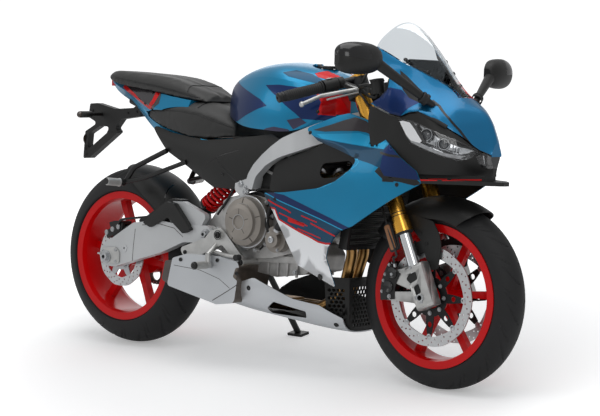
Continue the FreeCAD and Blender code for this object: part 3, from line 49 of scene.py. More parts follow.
# Upright frame.
# The motorcycle is modelled here as it rides, upright, in millimetres: X forward, Y to the rider's left, Z
# up, with the origin on the floor midway between the axles. The two wheel spindles say where that frame lies
# in the row now that the machine leans on its side stand, and every piece is placed through it.
HALF_BASE = 685.0
FRONT_R = 300.0
REAR_R = 315.0
joints = {joint["name"]: joint for joint in frame["joints"]}
front_axle_at = Vector(joints["front_wheel_spin"]["pos_m"])
rear_axle_at = Vector(joints["rear_wheel_spin"]["pos_m"])
across = Vector(joints["rear_wheel_spin"]["axis"]).normalized()
spindle_line = (front_axle_at - rear_axle_at).normalized()
ahead = Matrix.Rotation(math.atan2(REAR_R - FRONT_R, 2 * HALF_BASE), 3, -across) @ spindle_line
upward = ahead.cross(across)
floor_point = rear_axle_at + ahead * (HALF_BASE / 1000) - upward * (REAR_R / 1000)
UPRIGHT = Matrix((ahead, across, upward)).transposed().to_4x4()
UPRIGHT.translation = floor_point


# Painted and cast surfaces of the CAD solids.
# Every surface is a procedural material named for what the real piece is made of and how: a base colour, a
# slow drift of tone, and a relief whose grain is the real one's in millimetres.
def linear(code):
    """An sRGB hex colour as linear RGBA."""
    out = []
    for i in (0, 2, 4):
        c = int(code[i:i + 2], 16) / 255
        out.append(c / 12.92 if c <= 0.04045 else ((c + 0.055) / 1.055) ** 2.4)
    return (*out, 1.0)


def add_node(material, kind, settings=None, links=None, **values):
    """Adds one shader node, with its properties, its links from other sockets and its inputs' values."""
    tree = material.node_tree
    node = tree.nodes.new(kind)
    for key, value in (settings or {}).items():
        setattr(node, key, value)
    for key, value in values.items():
        node.inputs[key.replace("_", " ")].default_value = value
    for key, socket in (links or {}).items():
        tree.links.new(socket, node.inputs[key])
    return node


def surface(name, colour, roughness, metallic=0.0, grain=1.0, relief=0.02, drift=60.0, drift_by=0.06,
            stretch=(1, 1, 1), **extra):
    """A solid material: grain and drift are pattern sizes in mm, relief is the depth of the grain in mm."""
    material = bpy.data.materials.new(name)
    material.use_nodes = True
    shader = material.node_tree.nodes["Principled BSDF"]
    shader.inputs["Roughness"].default_value = roughness
    shader.inputs["Metallic"].default_value = metallic
    for key, value in extra.items():
        shader.inputs[key.replace("_", " ")].default_value = value
    links = material.node_tree.links
    coords = add_node(material, "ShaderNodeTexCoord")
    slow = add_node(material, "ShaderNodeTexNoise", None, {"Vector": coords.outputs["Object"]},
                    Scale=1000.0 / drift, Detail=2.0)
    shift = add_node(material, "ShaderNodeMapRange", None, {"Value": slow.outputs["Fac"]},
                     From_Min=0.3, From_Max=0.7, To_Min=1.0 - drift_by, To_Max=1.0 + drift_by)
    tone = add_node(material, "ShaderNodeHueSaturation", None, {"Value": shift.outputs["Result"]},
                    Color=linear(colour))
    links.new(tone.outputs["Color"], shader.inputs["Base Color"])
    placed = add_node(material, "ShaderNodeMapping", None, {"Vector": coords.outputs["Object"]},
                      Scale=tuple(1000.0 / grain * s for s in stretch))
    fine = add_node(material, "ShaderNodeTexNoise", None, {"Vector": placed.outputs["Vector"]}, Scale=1.0,
                    Detail=2.0)
    bump = add_node(material, "ShaderNodeBump", None, {"Height": fine.outputs["Fac"]},
                    Distance=relief / 1000.0)
    links.new(bump.outputs["Normal"], shader.inputs["Normal"])
    return material


def metal_flake(name, colour, roughness=0.36):
    """Metallic base coat under clear lacquer, with fine flakes and a trace of orange peel."""
    # Real flakes are far finer than 0.35 mm, the size at which they still show in the picture.
    return surface(name, colour, roughness, metallic=0.7, grain=0.35, relief=0.012, drift=180.0,
                   drift_by=0.05, Coat_Weight=0.3, Coat_Roughness=0.04)


# Metallic lacquer on the moulded panels: bright toward a lamp, deep where it turns away.
blue_paint = metal_flake("blue_metallic_lacquer", "037FAA")
deep_blue_paint = metal_flake("deep_blue_metallic_lacquer", "023F5C")
nose_paint = metal_flake("nose_blue_metallic_lacquer", "046A98")
navy_paint = metal_flake("navy_metallic_lacquer", "04265A")
light_blue_paint = metal_flake("light_blue_metallic_lacquer", "1F9CCB")
silver_paint = metal_flake("silver_metallic_lacquer", "C2C5C8", 0.42)
violet_grey_paint = metal_flake("violet_grey_lacquer", "3C3A52")
# Plain gloss lacquer: a flat, full colour under a clear highlight, with no flake in it.
red_paint = surface("red_gloss_lacquer", "D8070C", 0.3, grain=3.0, relief=0.01, drift=200.0, drift_by=0.03,
                    Coat_Weight=0.15, Coat_Roughness=0.06, Specular_IOR_Level=0.25)
# Powder coat over a casting: an even, soft sheen that hides the metal's own patches.
frame_silver = surface("silver_satin_powder_coat", "C9CBCC", 0.42, metallic=0.35, grain=0.6, relief=0.012,
                       drift=120.0, drift_by=0.04, Coat_Weight=0.25, Coat_Roughness=0.25)
# Satin powder coat: dull black that shows its form only by a grey light along the edges.
black_coat = surface("black_satin_powder_coat", "101010", 0.44, Specular_IOR_Level=0.4, grain=0.5,
                     relief=0.015, drift=90.0, drift_by=0.15)
# Plastic moulded against a grained tool: matt dark grey, a little lighter at a low angle.
grained_plastic = surface("grained_dark_grey_plastic", "1B1B1A", 0.5, Specular_IOR_Level=0.35, grain=0.45,
                          relief=0.03, drift=120.0, drift_by=0.1)
# Plastic moulded against a polished tool: nearly black, with a clear highlight.
gloss_black = surface("gloss_black_plastic", "0D0D0E", 0.16, grain=8.0, relief=0.01, drift=120.0,
                      drift_by=0.1)
# Aluminium as cast and blasted: pale grey and unmirrored, with slow patches.
cast_aluminium = surface("cast_aluminium", "B9B9B7", 0.44, metallic=0.85, grain=0.8, relief=0.05, drift=30.0,
                         drift_by=0.1)
engine_cast = surface("cast_aluminium_engine", "B4B3B1", 0.5, metallic=0.7, grain=1.0, relief=0.07,
                      drift=35.0, drift_by=0.14)
# Bronze-grey paint over a casting: warmer and duller than the bare metal beside it.
clutch_cast = surface("bronze_grey_cover_paint", "928C85", 0.42, metallic=0.55, grain=0.7, relief=0.03,
                      drift=60.0, drift_by=0.08)
# Stainless tube tinted by heat: straw and brown in slow patches under a bright highlight.
header_steel = surface("heat_tinted_stainless_tube", "A98352", 0.3, metallic=1.0, grain=0.4, relief=0.01,
                       drift=45.0, drift_by=0.3)
# Drawn tube, anodised: a warm, long highlight, its fine marks running along the tube.
gold_anodised = surface("gold_anodised_aluminium", "E2A846", 0.24, metallic=1.0, grain=0.5, relief=0.006,
                        drift=100.0, drift_by=0.05, stretch=(1, 1, 0.1))
# Hard chrome over ground steel: a near mirror.
chrome_plate = surface("hard_chrome_plated_steel", "D9DBDD", 0.1, metallic=1.0, grain=0.4, relief=0.003,
                       drift=90.0, drift_by=0.03)
# Machined steel: bright, with the highlight a little spread by the tool's marks.
bright_steel = surface("machined_bright_steel", "B4B6B8", 0.28, metallic=1.0, grain=0.3, relief=0.01,
                       drift=50.0, drift_by=0.06)
# Steel under oil and dust: brownish grey, with darker patches.
chain_steel = surface("oiled_chain_steel", "5E5B56", 0.38, metallic=1.0, grain=0.5, relief=0.03, drift=20.0,
                      drift_by=0.2)
# Moulded rubber: near black and matt, grey only where light grazes it.
tyre_rubber = surface("tyre_rubber", "161617", 0.66, Specular_IOR_Level=0.4, grain=0.9, relief=0.05,
                      drift=80.0, drift_by=0.12)
grip_rubber = surface("moulded_grip_rubber", "141414", 0.68, grain=0.7, relief=0.04, drift=40.0, drift_by=0.1)
# Thin black paint on the cooling fins: flat, with no highlight.
fin_paint = surface("black_radiator_paint", "121212", 0.55, grain=0.6, relief=0.02, drift=60.0, drift_by=0.15)

node_material = {"main_frame": frame_silver, "rear_subframe": black_coat, "engine_block": engine_cast,
                 "engine_covers": clutch_cast, "exhaust_pipes": header_steel, "silencer": silver_paint,
                 "radiator": fin_paint, "swingarm": frame_silver, "swingarm_pivot": bright_steel,
                 "rear_axle": bright_steel, "rear_caliper": black_coat, "rear_hugger": grained_plastic,
                 "chain": chain_steel, "shock_absorber": black_coat, "shock_spring": red_paint,
                 "fuel_tank": blue_paint, "fuel_cap": black_coat, "rider_seat": grained_plastic,
                 "pillion_seat": grained_plastic, "tail_fairing": blue_paint, "tail_lamp": red_paint,
                 "side_covers": grained_plastic, "side_fairings": blue_paint, "inner_panels": grained_plastic,
                 "belly_pan": silver_paint, "belly_guard": grained_plastic, "nose_fairing": nose_paint,
                 "windscreen": chrome_plate, "headlamps": chrome_plate, "chin_spoiler": grained_plastic,
                 "instrument_panel": gloss_black, "front_bracket": black_coat, "mirrors": grained_plastic,
                 "footrests": cast_aluminium, "pillion_footrests": black_coat,
                 "plate_bracket": grained_plastic, "stand_bracket": black_coat, "front_axle": bright_steel,
                 "fork_sliders": chrome_plate, "fork_tubes": gold_anodised, "fork_feet": cast_aluminium,
                 "front_calipers": black_coat, "lower_yoke": black_coat, "top_yoke": black_coat,
                 "handlebars": black_coat, "grips": grip_rubber, "bar_controls": grained_plastic,
                 "front_mudguard": grained_plastic, "front_rim": red_paint, "front_tyre": tyre_rubber,
                 "front_discs": bright_steel, "rear_rim": red_paint, "rear_tyre": tyre_rubber,
                 "rear_disc": bright_steel, "rear_sprocket": chain_steel, "side_stand": black_coat}
for node_name, material in node_material.items():
    mesh = nodes[node_name].data
    mesh.materials.clear()
    mesh.materials.append(material)


# Tyres.
# Sport radials of moulded rubber: the CAD section turned finely, with slanted grooves that run out into the
# shoulders, a smooth centre and a ledge that guards the rim.
FROM_UPRIGHT = UPRIGHT @ Matrix.Scale(0.001, 4)
FRONT_AXLE, REAR_AXLE = (HALF_BASE, FRONT_R), (-HALF_BASE, REAR_R)
RIM_SEAT_R = 219.6
CROWN_STEPS = 56
PITCH_STEPS = 44


def loose_object(name, bm):
    """An object from a bmesh, not yet part of the machine."""
    mesh = bpy.data.meshes.new(name)
    bm.to_mesh(mesh)
    bm.free()
    helper = bpy.data.objects.new(name, mesh)
    scene.collection.objects.link(helper)
    return helper


def place(name, bm, materials, body="chassis", smooth=40.0):
    """Turns a bmesh in upright millimetres into a named piece that rides with a body of the frame."""
    bmesh.ops.recalc_face_normals(bm, faces=bm.faces)
    piece = loose_object(name, bm)
    piece.data.transform(FROM_UPRIGHT)
    for material in (materials if isinstance(materials, list) else [materials]):
        piece.data.materials.append(material)
    piece.data.shade_smooth()
    piece.data.set_sharp_from_angle(angle=math.radians(smooth))
    bpy.context.view_layer.update()
    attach(piece, body)
    return piece


def new_meshes(count):
    """Empty bmeshes for the pieces of a section."""
    return [bmesh.new() for _ in range(count)]


def turns_round(count):
    """Angles evenly spread round a circle."""
    return [2 * math.pi * i / count for i in range(count)]


def polar(radius, turn):
    """A 2D point at a radius and an angle."""
    return radius * math.cos(turn), radius * math.sin(turn)


def round_axle(axle, radius, turn, y):
    """A point round an axle, which is given as (x, z), at a distance from the machine's middle."""
    return Vector((axle[0] + radius * math.cos(turn), y, axle[1] + radius * math.sin(turn)))


def grid_faces(bm, rings, closed_rings=True, closed_row=False):
    """Joins rows of vertices into quads."""
    rows = list(zip(rings, rings[1:])) + ([(rings[-1], rings[0])] if closed_row else [])
    for a, b in rows:
        count = len(a) if closed_rings else len(a) - 1
        for i in range(count):
            j = (i + 1) % len(a)
            bm.faces.new((a[i], a[j], b[j], b[i]))


def groove_depth(turn, y, grooves):
    """Depth in mm of the tread at a share of one pitch round the tyre and a distance from its middle."""
    depth = 0.0
    for side, phase, start, end, slope, width in grooves:
        if y * side < start or y * side > end:
            continue
        along = (y * side - start) / (end - start)
        middle = phase + slope * along ** 1.4
        gap = abs((turn - middle + 0.5) % 1.0 - 0.5)
        reach = width * math.sin(math.pi * min(1.0, 0.12 + along * 0.8))
        if gap < reach:
            depth = max(depth, 3.2 * min(1.0, 1.6 * (1 - gap / reach)))
    return depth


def tyre_piece(name, node, body, axle_x, radius, half, crown, bead, pitches):
    """One tyre with its tread, over the CAD tyre's own section."""
    centre = radius - crown
    wall_r = max(centre, 238.0)
    wall_y = half * math.sqrt(1 - ((wall_r - centre) / crown) ** 2)
    reach = math.acos((wall_r - centre) / crown) if wall_r > centre else math.pi / 2
    section = []
    for i in range(CROWN_STEPS + 1):
        turn = -reach + 2 * reach * i / CROWN_STEPS
        across_tyre = half if wall_r > centre else crown
        section.append((centre + crown * math.cos(turn), across_tyre * math.sin(turn), True))
    lower = [(wall_r - 2, wall_y * 0.985, False), (wall_r - 3.2, wall_y * 0.965, False),
             (233.6, bead + 4.2, False), (232, bead + 3.5, False), (231.2, bead, False),
             (RIM_SEAT_R, bead - 0.2, False), (RIM_SEAT_R, bead - 8.8, False)]
    section = [(r, -y, tread) for r, y, tread in reversed(lower)] + section + lower
    grooves = []
    for phase, start, end, slope, width in ((0.0, 0.10, 0.80, 0.55, 0.045), (0.55, 0.42, 0.90, 0.35, 0.035),
                                            (0.80, 0.60, 0.92, 0.22, 0.028)):
        grooves.append((1, phase, start * half, end * half, slope, width))
        grooves.append((-1, (phase + 0.5) % 1.0, start * half, end * half, slope, width))
    bm = bmesh.new()
    around = pitches * PITCH_STEPS
    rings = []
    for k, angle in enumerate(turns_round(around)):
        turn = (k / around * pitches) % 1.0
        ring = []
        for r, y, tread in section:
            drop = groove_depth(turn, y, grooves) if tread else 0.0
            ring.append(bm.verts.new(round_axle((axle_x, radius), r - drop, angle, y)))
        rings.append(ring)
    grid_faces(bm, rings, closed_rings=False, closed_row=True)
    inner = [(RIM_SEAT_R, bead - 8.8), (centre * 0.5 + radius * 0.5 - 12, 0), (RIM_SEAT_R, 8.8 - bead)]
    liner = [[bm.verts.new(round_axle((axle_x, radius), r, angle, y)) for r, y in inner]
             for angle in turns_round(around // 8)]
    grid_faces(bm, liner, closed_rings=False, closed_row=True)
    piece = place(name, bm, tyre_rubber, body, 50.0)
    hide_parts(node)


tyre_piece("front_tyre_with_tread", "front_tyre", "front_wheel", HALF_BASE, FRONT_R, 60.0, 60.0, 51.0, 15)
tyre_piece("rear_tyre_with_tread", "rear_tyre", "rear_wheel", -HALF_BASE, REAR_R, 90.0, 90.0, 76.0, 15)


# Brake discs.
# Laser-cut stainless bands, drilled in a repeating three-hole pattern, floating on bobbins on a black carrier
# in front and bolted flat at the rear; cut as plates with real holes.
def axis_frame(at, axis):
    """A matrix at a point whose local Z runs along an axis."""
    z = Vector(axis).normalized()
    x = Vector((0, 0, 1)).cross(z)
    if x.length < 0.05:
        x = Vector((1, 0, 0)).cross(z)
    x.normalize()
    return Matrix.Translation(at) @ Matrix((x, z.cross(x), z)).transposed().to_4x4()


def lathe(bm, profile, at, axis, segments=32):
    """A turned piece from (radius, height) points along an axis from a point."""
    m = axis_frame(at, axis)
    rings = []
    for r, h in profile:
        turns = turns_round(segments) if r > 1e-6 else [0.0]
        rings.append([bm.verts.new(m @ Vector((*polar(r, turn), h))) for turn in turns])
    for a, b in zip(rings, rings[1:]):
        for i in range(max(len(a), len(b))):
            corners = list(dict.fromkeys((a[i % len(a)], a[(i + 1) % len(a)], b[(i + 1) % len(b)],
                                          b[i % len(b)])))
            if len(corners) > 2:
                bm.faces.new(corners)


def inside_loop(loop, x, y):
    """Whether a 2D point lies inside a closed loop."""
    inside = False
    for (ax, ay), (bx, by) in zip(loop, loop[1:] + loop[:1]):
        if (ay > y) != (by > y) and x < ax + (bx - ax) * (y - ay) / (by - ay):
            inside = not inside
    return inside


def plate(bm, loops, m, thickness):
    """A flat plate with holes, from loops of 2D points in the plane of a matrix, the outer loop first."""
    points, edges, owner = [], [], []
    for number, loop in enumerate(loops):
        start = len(points)
        points += [Vector(p) for p in loop]
        owner += [number] * len(loop)
        edges += [(start + i, start + (i + 1) % len(loop)) for i in range(len(loop))]
    flat, _, faces, origin, _, _ = delaunay_2d_cdt(points, edges, [], 0, 1e-4)
    low = [bm.verts.new(m @ Vector((v.x, v.y, 0))) for v in flat]
    high = [bm.verts.new(m @ Vector((v.x, v.y, thickness))) for v in flat]
    used = {}
    for face in faces:
        met = {owner[origin[i][0]] for i in face}
        if len(met) == 1:
            number = met.pop()
            middle = sum((flat[i] for i in face), Vector((0, 0))) / len(face)
            if inside_loop(loops[number], middle.x, middle.y) != (number == 0):
                continue
        bm.faces.new([low[i] for i in face])
        bm.faces.new([high[i] for i in face])
        for i, j in zip(face, face[1:] + face[:1]):
            used[(min(i, j), max(i, j))] = used.get((min(i, j), max(i, j)), 0) + 1
    for (i, j), count in used.items():
        if count == 1:
            bm.faces.new((low[i], low[j], high[j], high[i]))


def circle(x, y, radius, segments):
    """Points of a circle."""
    return [(x + radius * math.cos(turn), y + radius * math.sin(turn)) for turn in turns_round(segments)]


def band(inner, outer, height):
    """The section of a plain ring, for lathe."""
    return [(inner, 0), (outer, 0), (outer, height), (inner, height), (inner, 0)]


def bolt(bm, at, axis, radius, height, sides=12, flange=1.35):
    """A screw head with a chamfer and a socket, standing on a point, its flange so many times as wide."""
    lathe(bm, [(0, 0), (radius, 0), (radius, height * 0.8), (radius * 0.86, height), (radius * 0.5, height),
               (radius * 0.5, height * 0.55), (0, height * 0.55)], at, axis, sides)
    if flange:
        wide, low = radius * flange, height * 0.25
        lathe(bm, [(0, 0), (wide, 0), (wide, low), (0, low)], at, axis, 12)


def wavy(radius, waves, depth, segments):
    """The scalloped rim of a disc."""
    return [polar(radius - depth * (0.5 - 0.5 * math.cos(waves * 2 * math.pi * i / segments)), turn)
            for i, turn in enumerate(turns_round(segments))]


def side_bolts(bm, side, y, radius, height, places):
    """Screws on one side of the machine, at places given as (x, z)."""
    for x, z in places:
        bolt(bm, (x, side * y, z), (0, side, 0), radius, height)


# Ground stainless steel: a pale sheen with no mirror in it.
disc_steel = surface("ground_stainless_disc", "C9CACB", 0.3, metallic=0.9, grain=0.5, relief=0.01, drift=20.0,
                     drift_by=0.05)
# Black anodised aluminium: a dark satin grey.
hub_black = surface("black_anodised_carrier", "1A1A1B", 0.4, metallic=0.5, grain=0.5, relief=0.01, drift=40.0,
                    drift_by=0.1)


def disc_plate(bm, axle, y, side, radius, width, rows, per_row, hole):
    """The drilled band of a disc, 4.5 mm thick, its visible face towards one side."""
    loops = [wavy(radius, 10, 2.0, 160), wavy(radius - width, 8, 3.0, 96)]
    for row in range(rows):
        r = radius - width * (row + 0.75) / (rows + 0.5)
        for i in range(per_row):
            turn = 2 * math.pi * (i + row * 0.36) / per_row
            loops.append(circle(*polar(r, turn), hole, 8))
    plate(bm, loops, axis_frame((axle[0], y, axle[1]), (0, side, 0)), 4.5)


bands, carriers, bobbins = new_meshes(3)
for side in (-1, 1):
    out = (0, side, 0)
    disc_plate(bands, FRONT_AXLE, side * 66.0, side, 160, 32, 3, 24, 3.0)
    arms = [polar(64 + 62 * max(0.0, math.cos(8 * turn)) ** 0.8, turn) for turn in turns_round(80)]
    holes = [circle(0, 0, 38, 32)] + [circle(*polar(88, turn), 9, 12) for turn in turns_round(8)]
    plate(carriers, [arms] + holes, axis_frame((HALF_BASE, side * 66.4, FRONT_R), out), 3.6)
    for turn in turns_round(8):
        lathe(bobbins, [(0, 0), (9.5, 0), (9.5, 5.6), (7.0, 6.4), (5.0, 6.4), (5.0, 4.5), (0, 4.5)],
              round_axle(FRONT_AXLE, 127.5, turn, side * 65.4), out, 20)
        bolt(bobbins, round_axle(FRONT_AXLE, 52, turn, side * 70.0), out, 5.5, 5.0)
discs = place("front_disc_bands", bands, disc_steel, "front_wheel")
place("front_disc_carriers", carriers, hub_black, "front_wheel")
place("front_disc_bobbins", bobbins, bright_steel, "front_wheel")
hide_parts("front_discs")

bands, carriers = new_meshes(2)
disc_plate(bands, REAR_AXLE, -80.4, -1, 110, 31, 3, 20, 2.8)
arms = [polar(50 + 34 * max(0.0, math.cos(6 * turn)), turn) for turn in turns_round(72)]
plate(carriers, [arms, circle(0, 0, 30, 32)], axis_frame((-HALF_BASE, -80.4, REAR_R), (0, -1, 0)), 4.2)
for turn in turns_round(6):
    bolt(carriers, round_axle(REAR_AXLE, 42, turn, -84.6), (0, -1, 0), 5.5, 4.5)
disc = place("rear_disc_band", bands, disc_steel, "rear_wheel")
place("rear_disc_centre", carriers, bright_steel, "rear_wheel")
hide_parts("rear_disc")


# Wheels.
# The cast rims keep the CAD solid under red lacquer; what a wheel also shows is added: the bright ring that
# seals the hub, the valve stem, and the balance weights on the front well.
STEM = [(0, 0), (5, 0), (5, 6), (3.4, 8), (3.4, 30), (4.0, 30), (4.0, 38), (0, 38)]
WELL_R = 203
for wheel, axle, stem_turn, hub_rings in (("front", FRONT_AXLE, 2.3, ((-1, 69.6, 29), (1, 69.6, 29))),
                                          ("rear", REAR_AXLE, 1.1, ((-1, 83.6, 27.6),))):
    trim, stem = new_meshes(2)
    for side, y, radius in hub_rings:
        lathe(trim, band(22, radius, 1.6), (axle[0], side * y, axle[1]), (0, side, 0), 32)
    lathe(stem, STEM, round_axle(axle, WELL_R, stem_turn, -8),
          (-math.cos(stem_turn), -0.25, -math.sin(stem_turn)), 12)
    if wheel == "front":
        for turn in [start + i * 0.055 for start in (0.6, 2.9) for i in range(4)]:
            inward = (-math.cos(turn), 0, -math.sin(turn))
            bolt(trim, round_axle(axle, WELL_R - 0.2, turn, -30), inward, 5.0, 3.0, 8, flange=0)
    place(wheel + "_wheel_trim", trim, bright_steel, wheel + "_wheel")
    place(wheel + "_valve", stem, grip_rubber, wheel + "_wheel")


# Painted graphics.
# The panels are blue; the other lacquers and stripes lie on them as films 0.4 mm thick. Each film is the
# panel's own outer skin inside an outline, given as (x, z) seen from the side, (x, y) from above or (y, z)
# from the front.
TO_UPRIGHT = Matrix.Scale(1000.0, 4) @ UPRIGHT.inverted()
skins = {}


def closed_copy(node, lift):
    """The solid of a CAD node in upright millimetres, welded, and swollen by a lift along its normals."""
    bm = bmesh.new()
    bm.from_mesh(nodes[node].data)
    bm.transform(TO_UPRIGHT @ nodes[node].matrix_world)
    bmesh.ops.remove_doubles(bm, verts=bm.verts, dist=0.02)
    bm.normal_update()
    moves = [(v, v.normal * lift) for v in bm.verts]
    for v, move in moves:
        v.co += move
    return bm


def boolean_bmesh(solid, cutter, operation):
    """What is left of an object after a boolean with a bmesh."""
    bmesh.ops.recalc_face_normals(cutter, faces=cutter.faces)
    knife = loose_object("knife", cutter)
    step = solid.modifiers.new("cut", "BOOLEAN")
    step.operation = operation
    step.solver = "EXACT"
    step.object = knife
    bpy.context.view_layer.update()
    mesh = bpy.data.meshes.new_from_object(solid.evaluated_get(bpy.context.evaluated_depsgraph_get()))
    solid.modifiers.remove(step)
    bpy.data.objects.remove(knife)
    bm = bmesh.new()
    bm.from_mesh(mesh)
    bpy.data.meshes.remove(mesh)
    return bm


def applied(piece):
    """The piece's mesh as its modifiers leave it."""
    bpy.context.view_layer.update()
    result = bpy.data.meshes.new_from_object(piece.evaluated_get(bpy.context.evaluated_depsgraph_get()))
    piece.modifiers.clear()
    piece.data = result
    return result


def outward(solid_point, way):
    """How far a direction at a point of the machine faces away from its middle."""
    return way.y * (1 if solid_point.y > 0 else -1)


def film_point(a, b, depth, view):
    """A point of an outline drawn in a view, at a depth along that view."""
    return {"side": (a, depth, b), "top": (a, b, depth), "front": (depth, a, b)}[view]


def film(name, node, outline, paint, view="side", sides=(-1, 1), lift=0.4):
    """A film of paint on a panel, inside an outline, on the sides asked for."""
    if (node, lift) not in skins:
        skins[(node, lift)] = loose_object("skin_of_" + node, closed_copy(node, lift))
    cutter = bmesh.new()
    for side in (sides if view == "side" else (1,)):
        spans = {"side": (side * 2.0, side * 500.0), "top": (400.0, 1400.0), "front": (-1000.0, 1000.0)}[view]
        ends = [[cutter.verts.new(film_point(a, b, depth, view)) for a, b in outline] for depth in spans]
        cutter.faces.new(ends[0])
        cutter.faces.new(ends[1])
        grid_faces(cutter, ends)
    bm = boolean_bmesh(skins[(node, lift)], cutter, "INTERSECT")
    bm.normal_update()
    hidden = []
    for face in bm.faces:
        middle = face.calc_center_median()
        facing = {"side": outward(middle, face.normal), "top": face.normal.z, "front": face.normal.x}[view]
        if facing < 0.12 or abs(middle.y) > 450:
            hidden.append(face)
    bmesh.ops.delete(bm, geom=hidden, context="FACES")
    piece = loose_object(name, bm)
    piece.data.transform(FROM_UPRIGHT)
    piece.data.materials.append(paint)
    piece.data.shade_smooth()
    shading = piece.modifiers.new("panel_normals", "DATA_TRANSFER")
    shading.object = nodes[node]
    shading.use_loop_data = True
    shading.data_types_loops = {"CUSTOM_NORMAL"}
    shading.loop_mapping = "POLYINTERP_NEAREST"
    applied(piece)
    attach(piece, "chassis")


def stripe(points, width):
    """The outline of a band of one width along a run of 2D points."""
    left, right_edge = [], []
    for i, here in enumerate(points):
        before = points[max(i - 1, 0)]
        after = points[min(i + 1, len(points) - 1)]
        along = Vector((after[0] - before[0], after[1] - before[1])).normalized()
        left.append((here[0] - along.y * width / 2, here[1] + along.x * width / 2))
        right_edge.append((here[0] + along.y * width / 2, here[1] - along.x * width / 2))
    return left + right_edge[::-1]


# Dark gloss film: a flat, neutral dark under a clear highlight.
dark_insert = surface("dark_grey_gloss_film", "322E31", 0.25, grain=2.0, relief=0.005, drift=80.0,
                      drift_by=0.06, Coat_Weight=0.3)
# Pale silver lacquer: nearly white toward a lamp.
pale_silver_paint = metal_flake("pale_silver_lacquer", "E9EBED", 0.42)


def repaint(node, paints, slot_at):
    """Adds paints to a CAD piece and gives each face the slot that slot_at(middle, way) names, if any."""
    mesh = nodes[node].data
    for paint in paints:
        mesh.materials.append(paint)
    to_side = TO_UPRIGHT @ nodes[node].matrix_world
    to_way = to_side.to_3x3()
    for polygon in mesh.polygons:
        slot = slot_at(to_side @ polygon.center, (to_way @ polygon.normal).normalized())
        if slot:
            polygon.material_index = slot


def inner_slot(middle, way):
    """The slot of bare plastic for a face that looks inwards."""
    return 1 if outward(middle, way) < -0.25 else 0


for panel in ("side_fairings", "nose_fairing", "tail_fairing"):
    repaint(panel, [grained_plastic], inner_slot)
repaint("belly_pan", [grained_plastic], lambda middle, way: inner_slot(middle, way) or int(way.z > 0.6))
RED_EDGE = [(90, 549), (131, 544), (149, 511), (198, 492), (242, 476), (284, 463), (318, 450), (350, 446),
            (400, 450)]
PALE_EDGE = [(70, 596), (107, 586), (154, 571), (245, 548), (332, 525), (407, 502), (470, 482)]
film("silver_lower_panel", "side_fairings", RED_EDGE + [(440, 452), (440, 200), (60, 200), (60, 549)],
     pale_silver_paint)
film("teal_lower_band", "side_fairings", PALE_EDGE + [(470, 440), (400, 452)] + RED_EDGE[-2::-1]
     + [(60, 560)], deep_blue_paint)
film("dark_diagonal_band", "side_fairings",
     [(80, 600), (172, 592), (245, 571), (315, 550), (375, 532), (437, 511), (500, 492)] + PALE_EDGE[::-1],
     navy_paint)
film("red_line", "side_fairings", stripe(RED_EDGE, 6), red_paint, lift=0.7)
film("pale_line", "side_fairings", stripe(PALE_EDGE, 3.5), light_blue_paint, lift=0.7)
RED_STROKES = (([(96, 571), (128, 560), (180, 545), (204, 536)], 5), ([(190, 512), (262, 500)], 12),
               ([(150, 532), (205, 517), (276, 498)], 4), ([(290, 508), (345, 490), (392, 474)], 5),
               ([(232, 487), (300, 470), (330, 462)], 4), ([(250, 530), (318, 513)], 4))
for number, (points, width) in enumerate(RED_STROKES, 1):
    film("red_stroke_%d" % number, "side_fairings", stripe(points, width), red_paint, lift=0.7)
film("dark_side_insert", "side_fairings",
     [(271, 809), (332, 828), (381, 846), (419, 857), (470, 847), (520, 826), (555, 803), (535, 799),
      (487, 811), (452, 814), (380, 811), (321, 806)], dark_insert, lift=0.5)
film("light_upper_band", "side_fairings",
     [(290, 797), (384, 802), (464, 808), (532, 795), (589, 782), (579, 763), (521, 767), (437, 773),
      (372, 779), (317, 784)], light_blue_paint, lift=0.5)
film("deep_upper_flank", "side_fairings",
     [(280, 790), (317, 782), (372, 777), (437, 771), (521, 765), (579, 762), (575, 703), (530, 716),
      (488, 724), (402, 731), (339, 751), (290, 770)], deep_blue_paint)
film("navy_front_flank", "side_fairings",
     [(579, 763), (600, 785), (660, 745), (735, 700), (735, 672), (706, 674), (650, 677), (593, 680),
      (575, 703)], navy_paint)
# Gloss black at the winglet's root is painted shade under its lip.
film("painted_shade_under_winglet", "side_fairings",
     [(571, 708), (593, 680), (650, 677), (706, 674), (720, 662), (700, 655), (650, 664), (592, 667),
      (556, 692)], gloss_black, lift=0.5)
# The black intake slot is a flat film: painted shade in the opening.
film("intake_slot_painted_shade", "side_fairings", [(566, 755), (605, 748), (668, 744), (664, 737), (600, 741), (568, 747)],
     gloss_black, lift=0.6)
# The light blue line along the window's rounded edge is a painted highlight.
film("window_edge_painted_highlight", "side_fairings",
     stripe([(322, 757), (339, 751), (402, 731), (482, 725), (488, 718), (480, 706), (456, 690), (417, 663),
             (375, 641), (320, 622)], 4), light_blue_paint, lift=0.6)
# The black line along the nose's parting is painted shade in the crease.
film("nose_parting_gap_painted_shade", "nose_fairing",
     stripe([(690, 921), (718, 904), (758, 868), (791, 832), (823, 787), (838, 771), (866, 754)], 5),
     gloss_black, lift=0.5)
film("mirror_root_panel", "nose_fairing",
     [(575, 1012), (600, 993), (640, 958), (689, 919), (718, 905), (700, 904), (660, 912), (628, 926),
      (603, 950), (588, 978)], grained_plastic, lift=0.6)
film("nose_navy_area", "nose_fairing",
     [(505, 915), (530, 946), (566, 956), (600, 950), (628, 926), (660, 912), (640, 893), (622, 866),
      (560, 884)], navy_paint)
film("nose_red_patch", "nose_fairing", [(640, 50), (700, 62), (748, 50), (744, 10), (700, 28), (655, 40)],
     red_paint, "top")
LIP_STROKE = [(640, 213), (700, 190), (745, 156), (738, 150), (694, 182), (640, 204)]
for side, word in ((-1, "right"), (1, "left")):
    film("lip_red_stroke_" + word, "chin_spoiler", [(x, side * y) for x, y in LIP_STROKE], red_paint, "top")

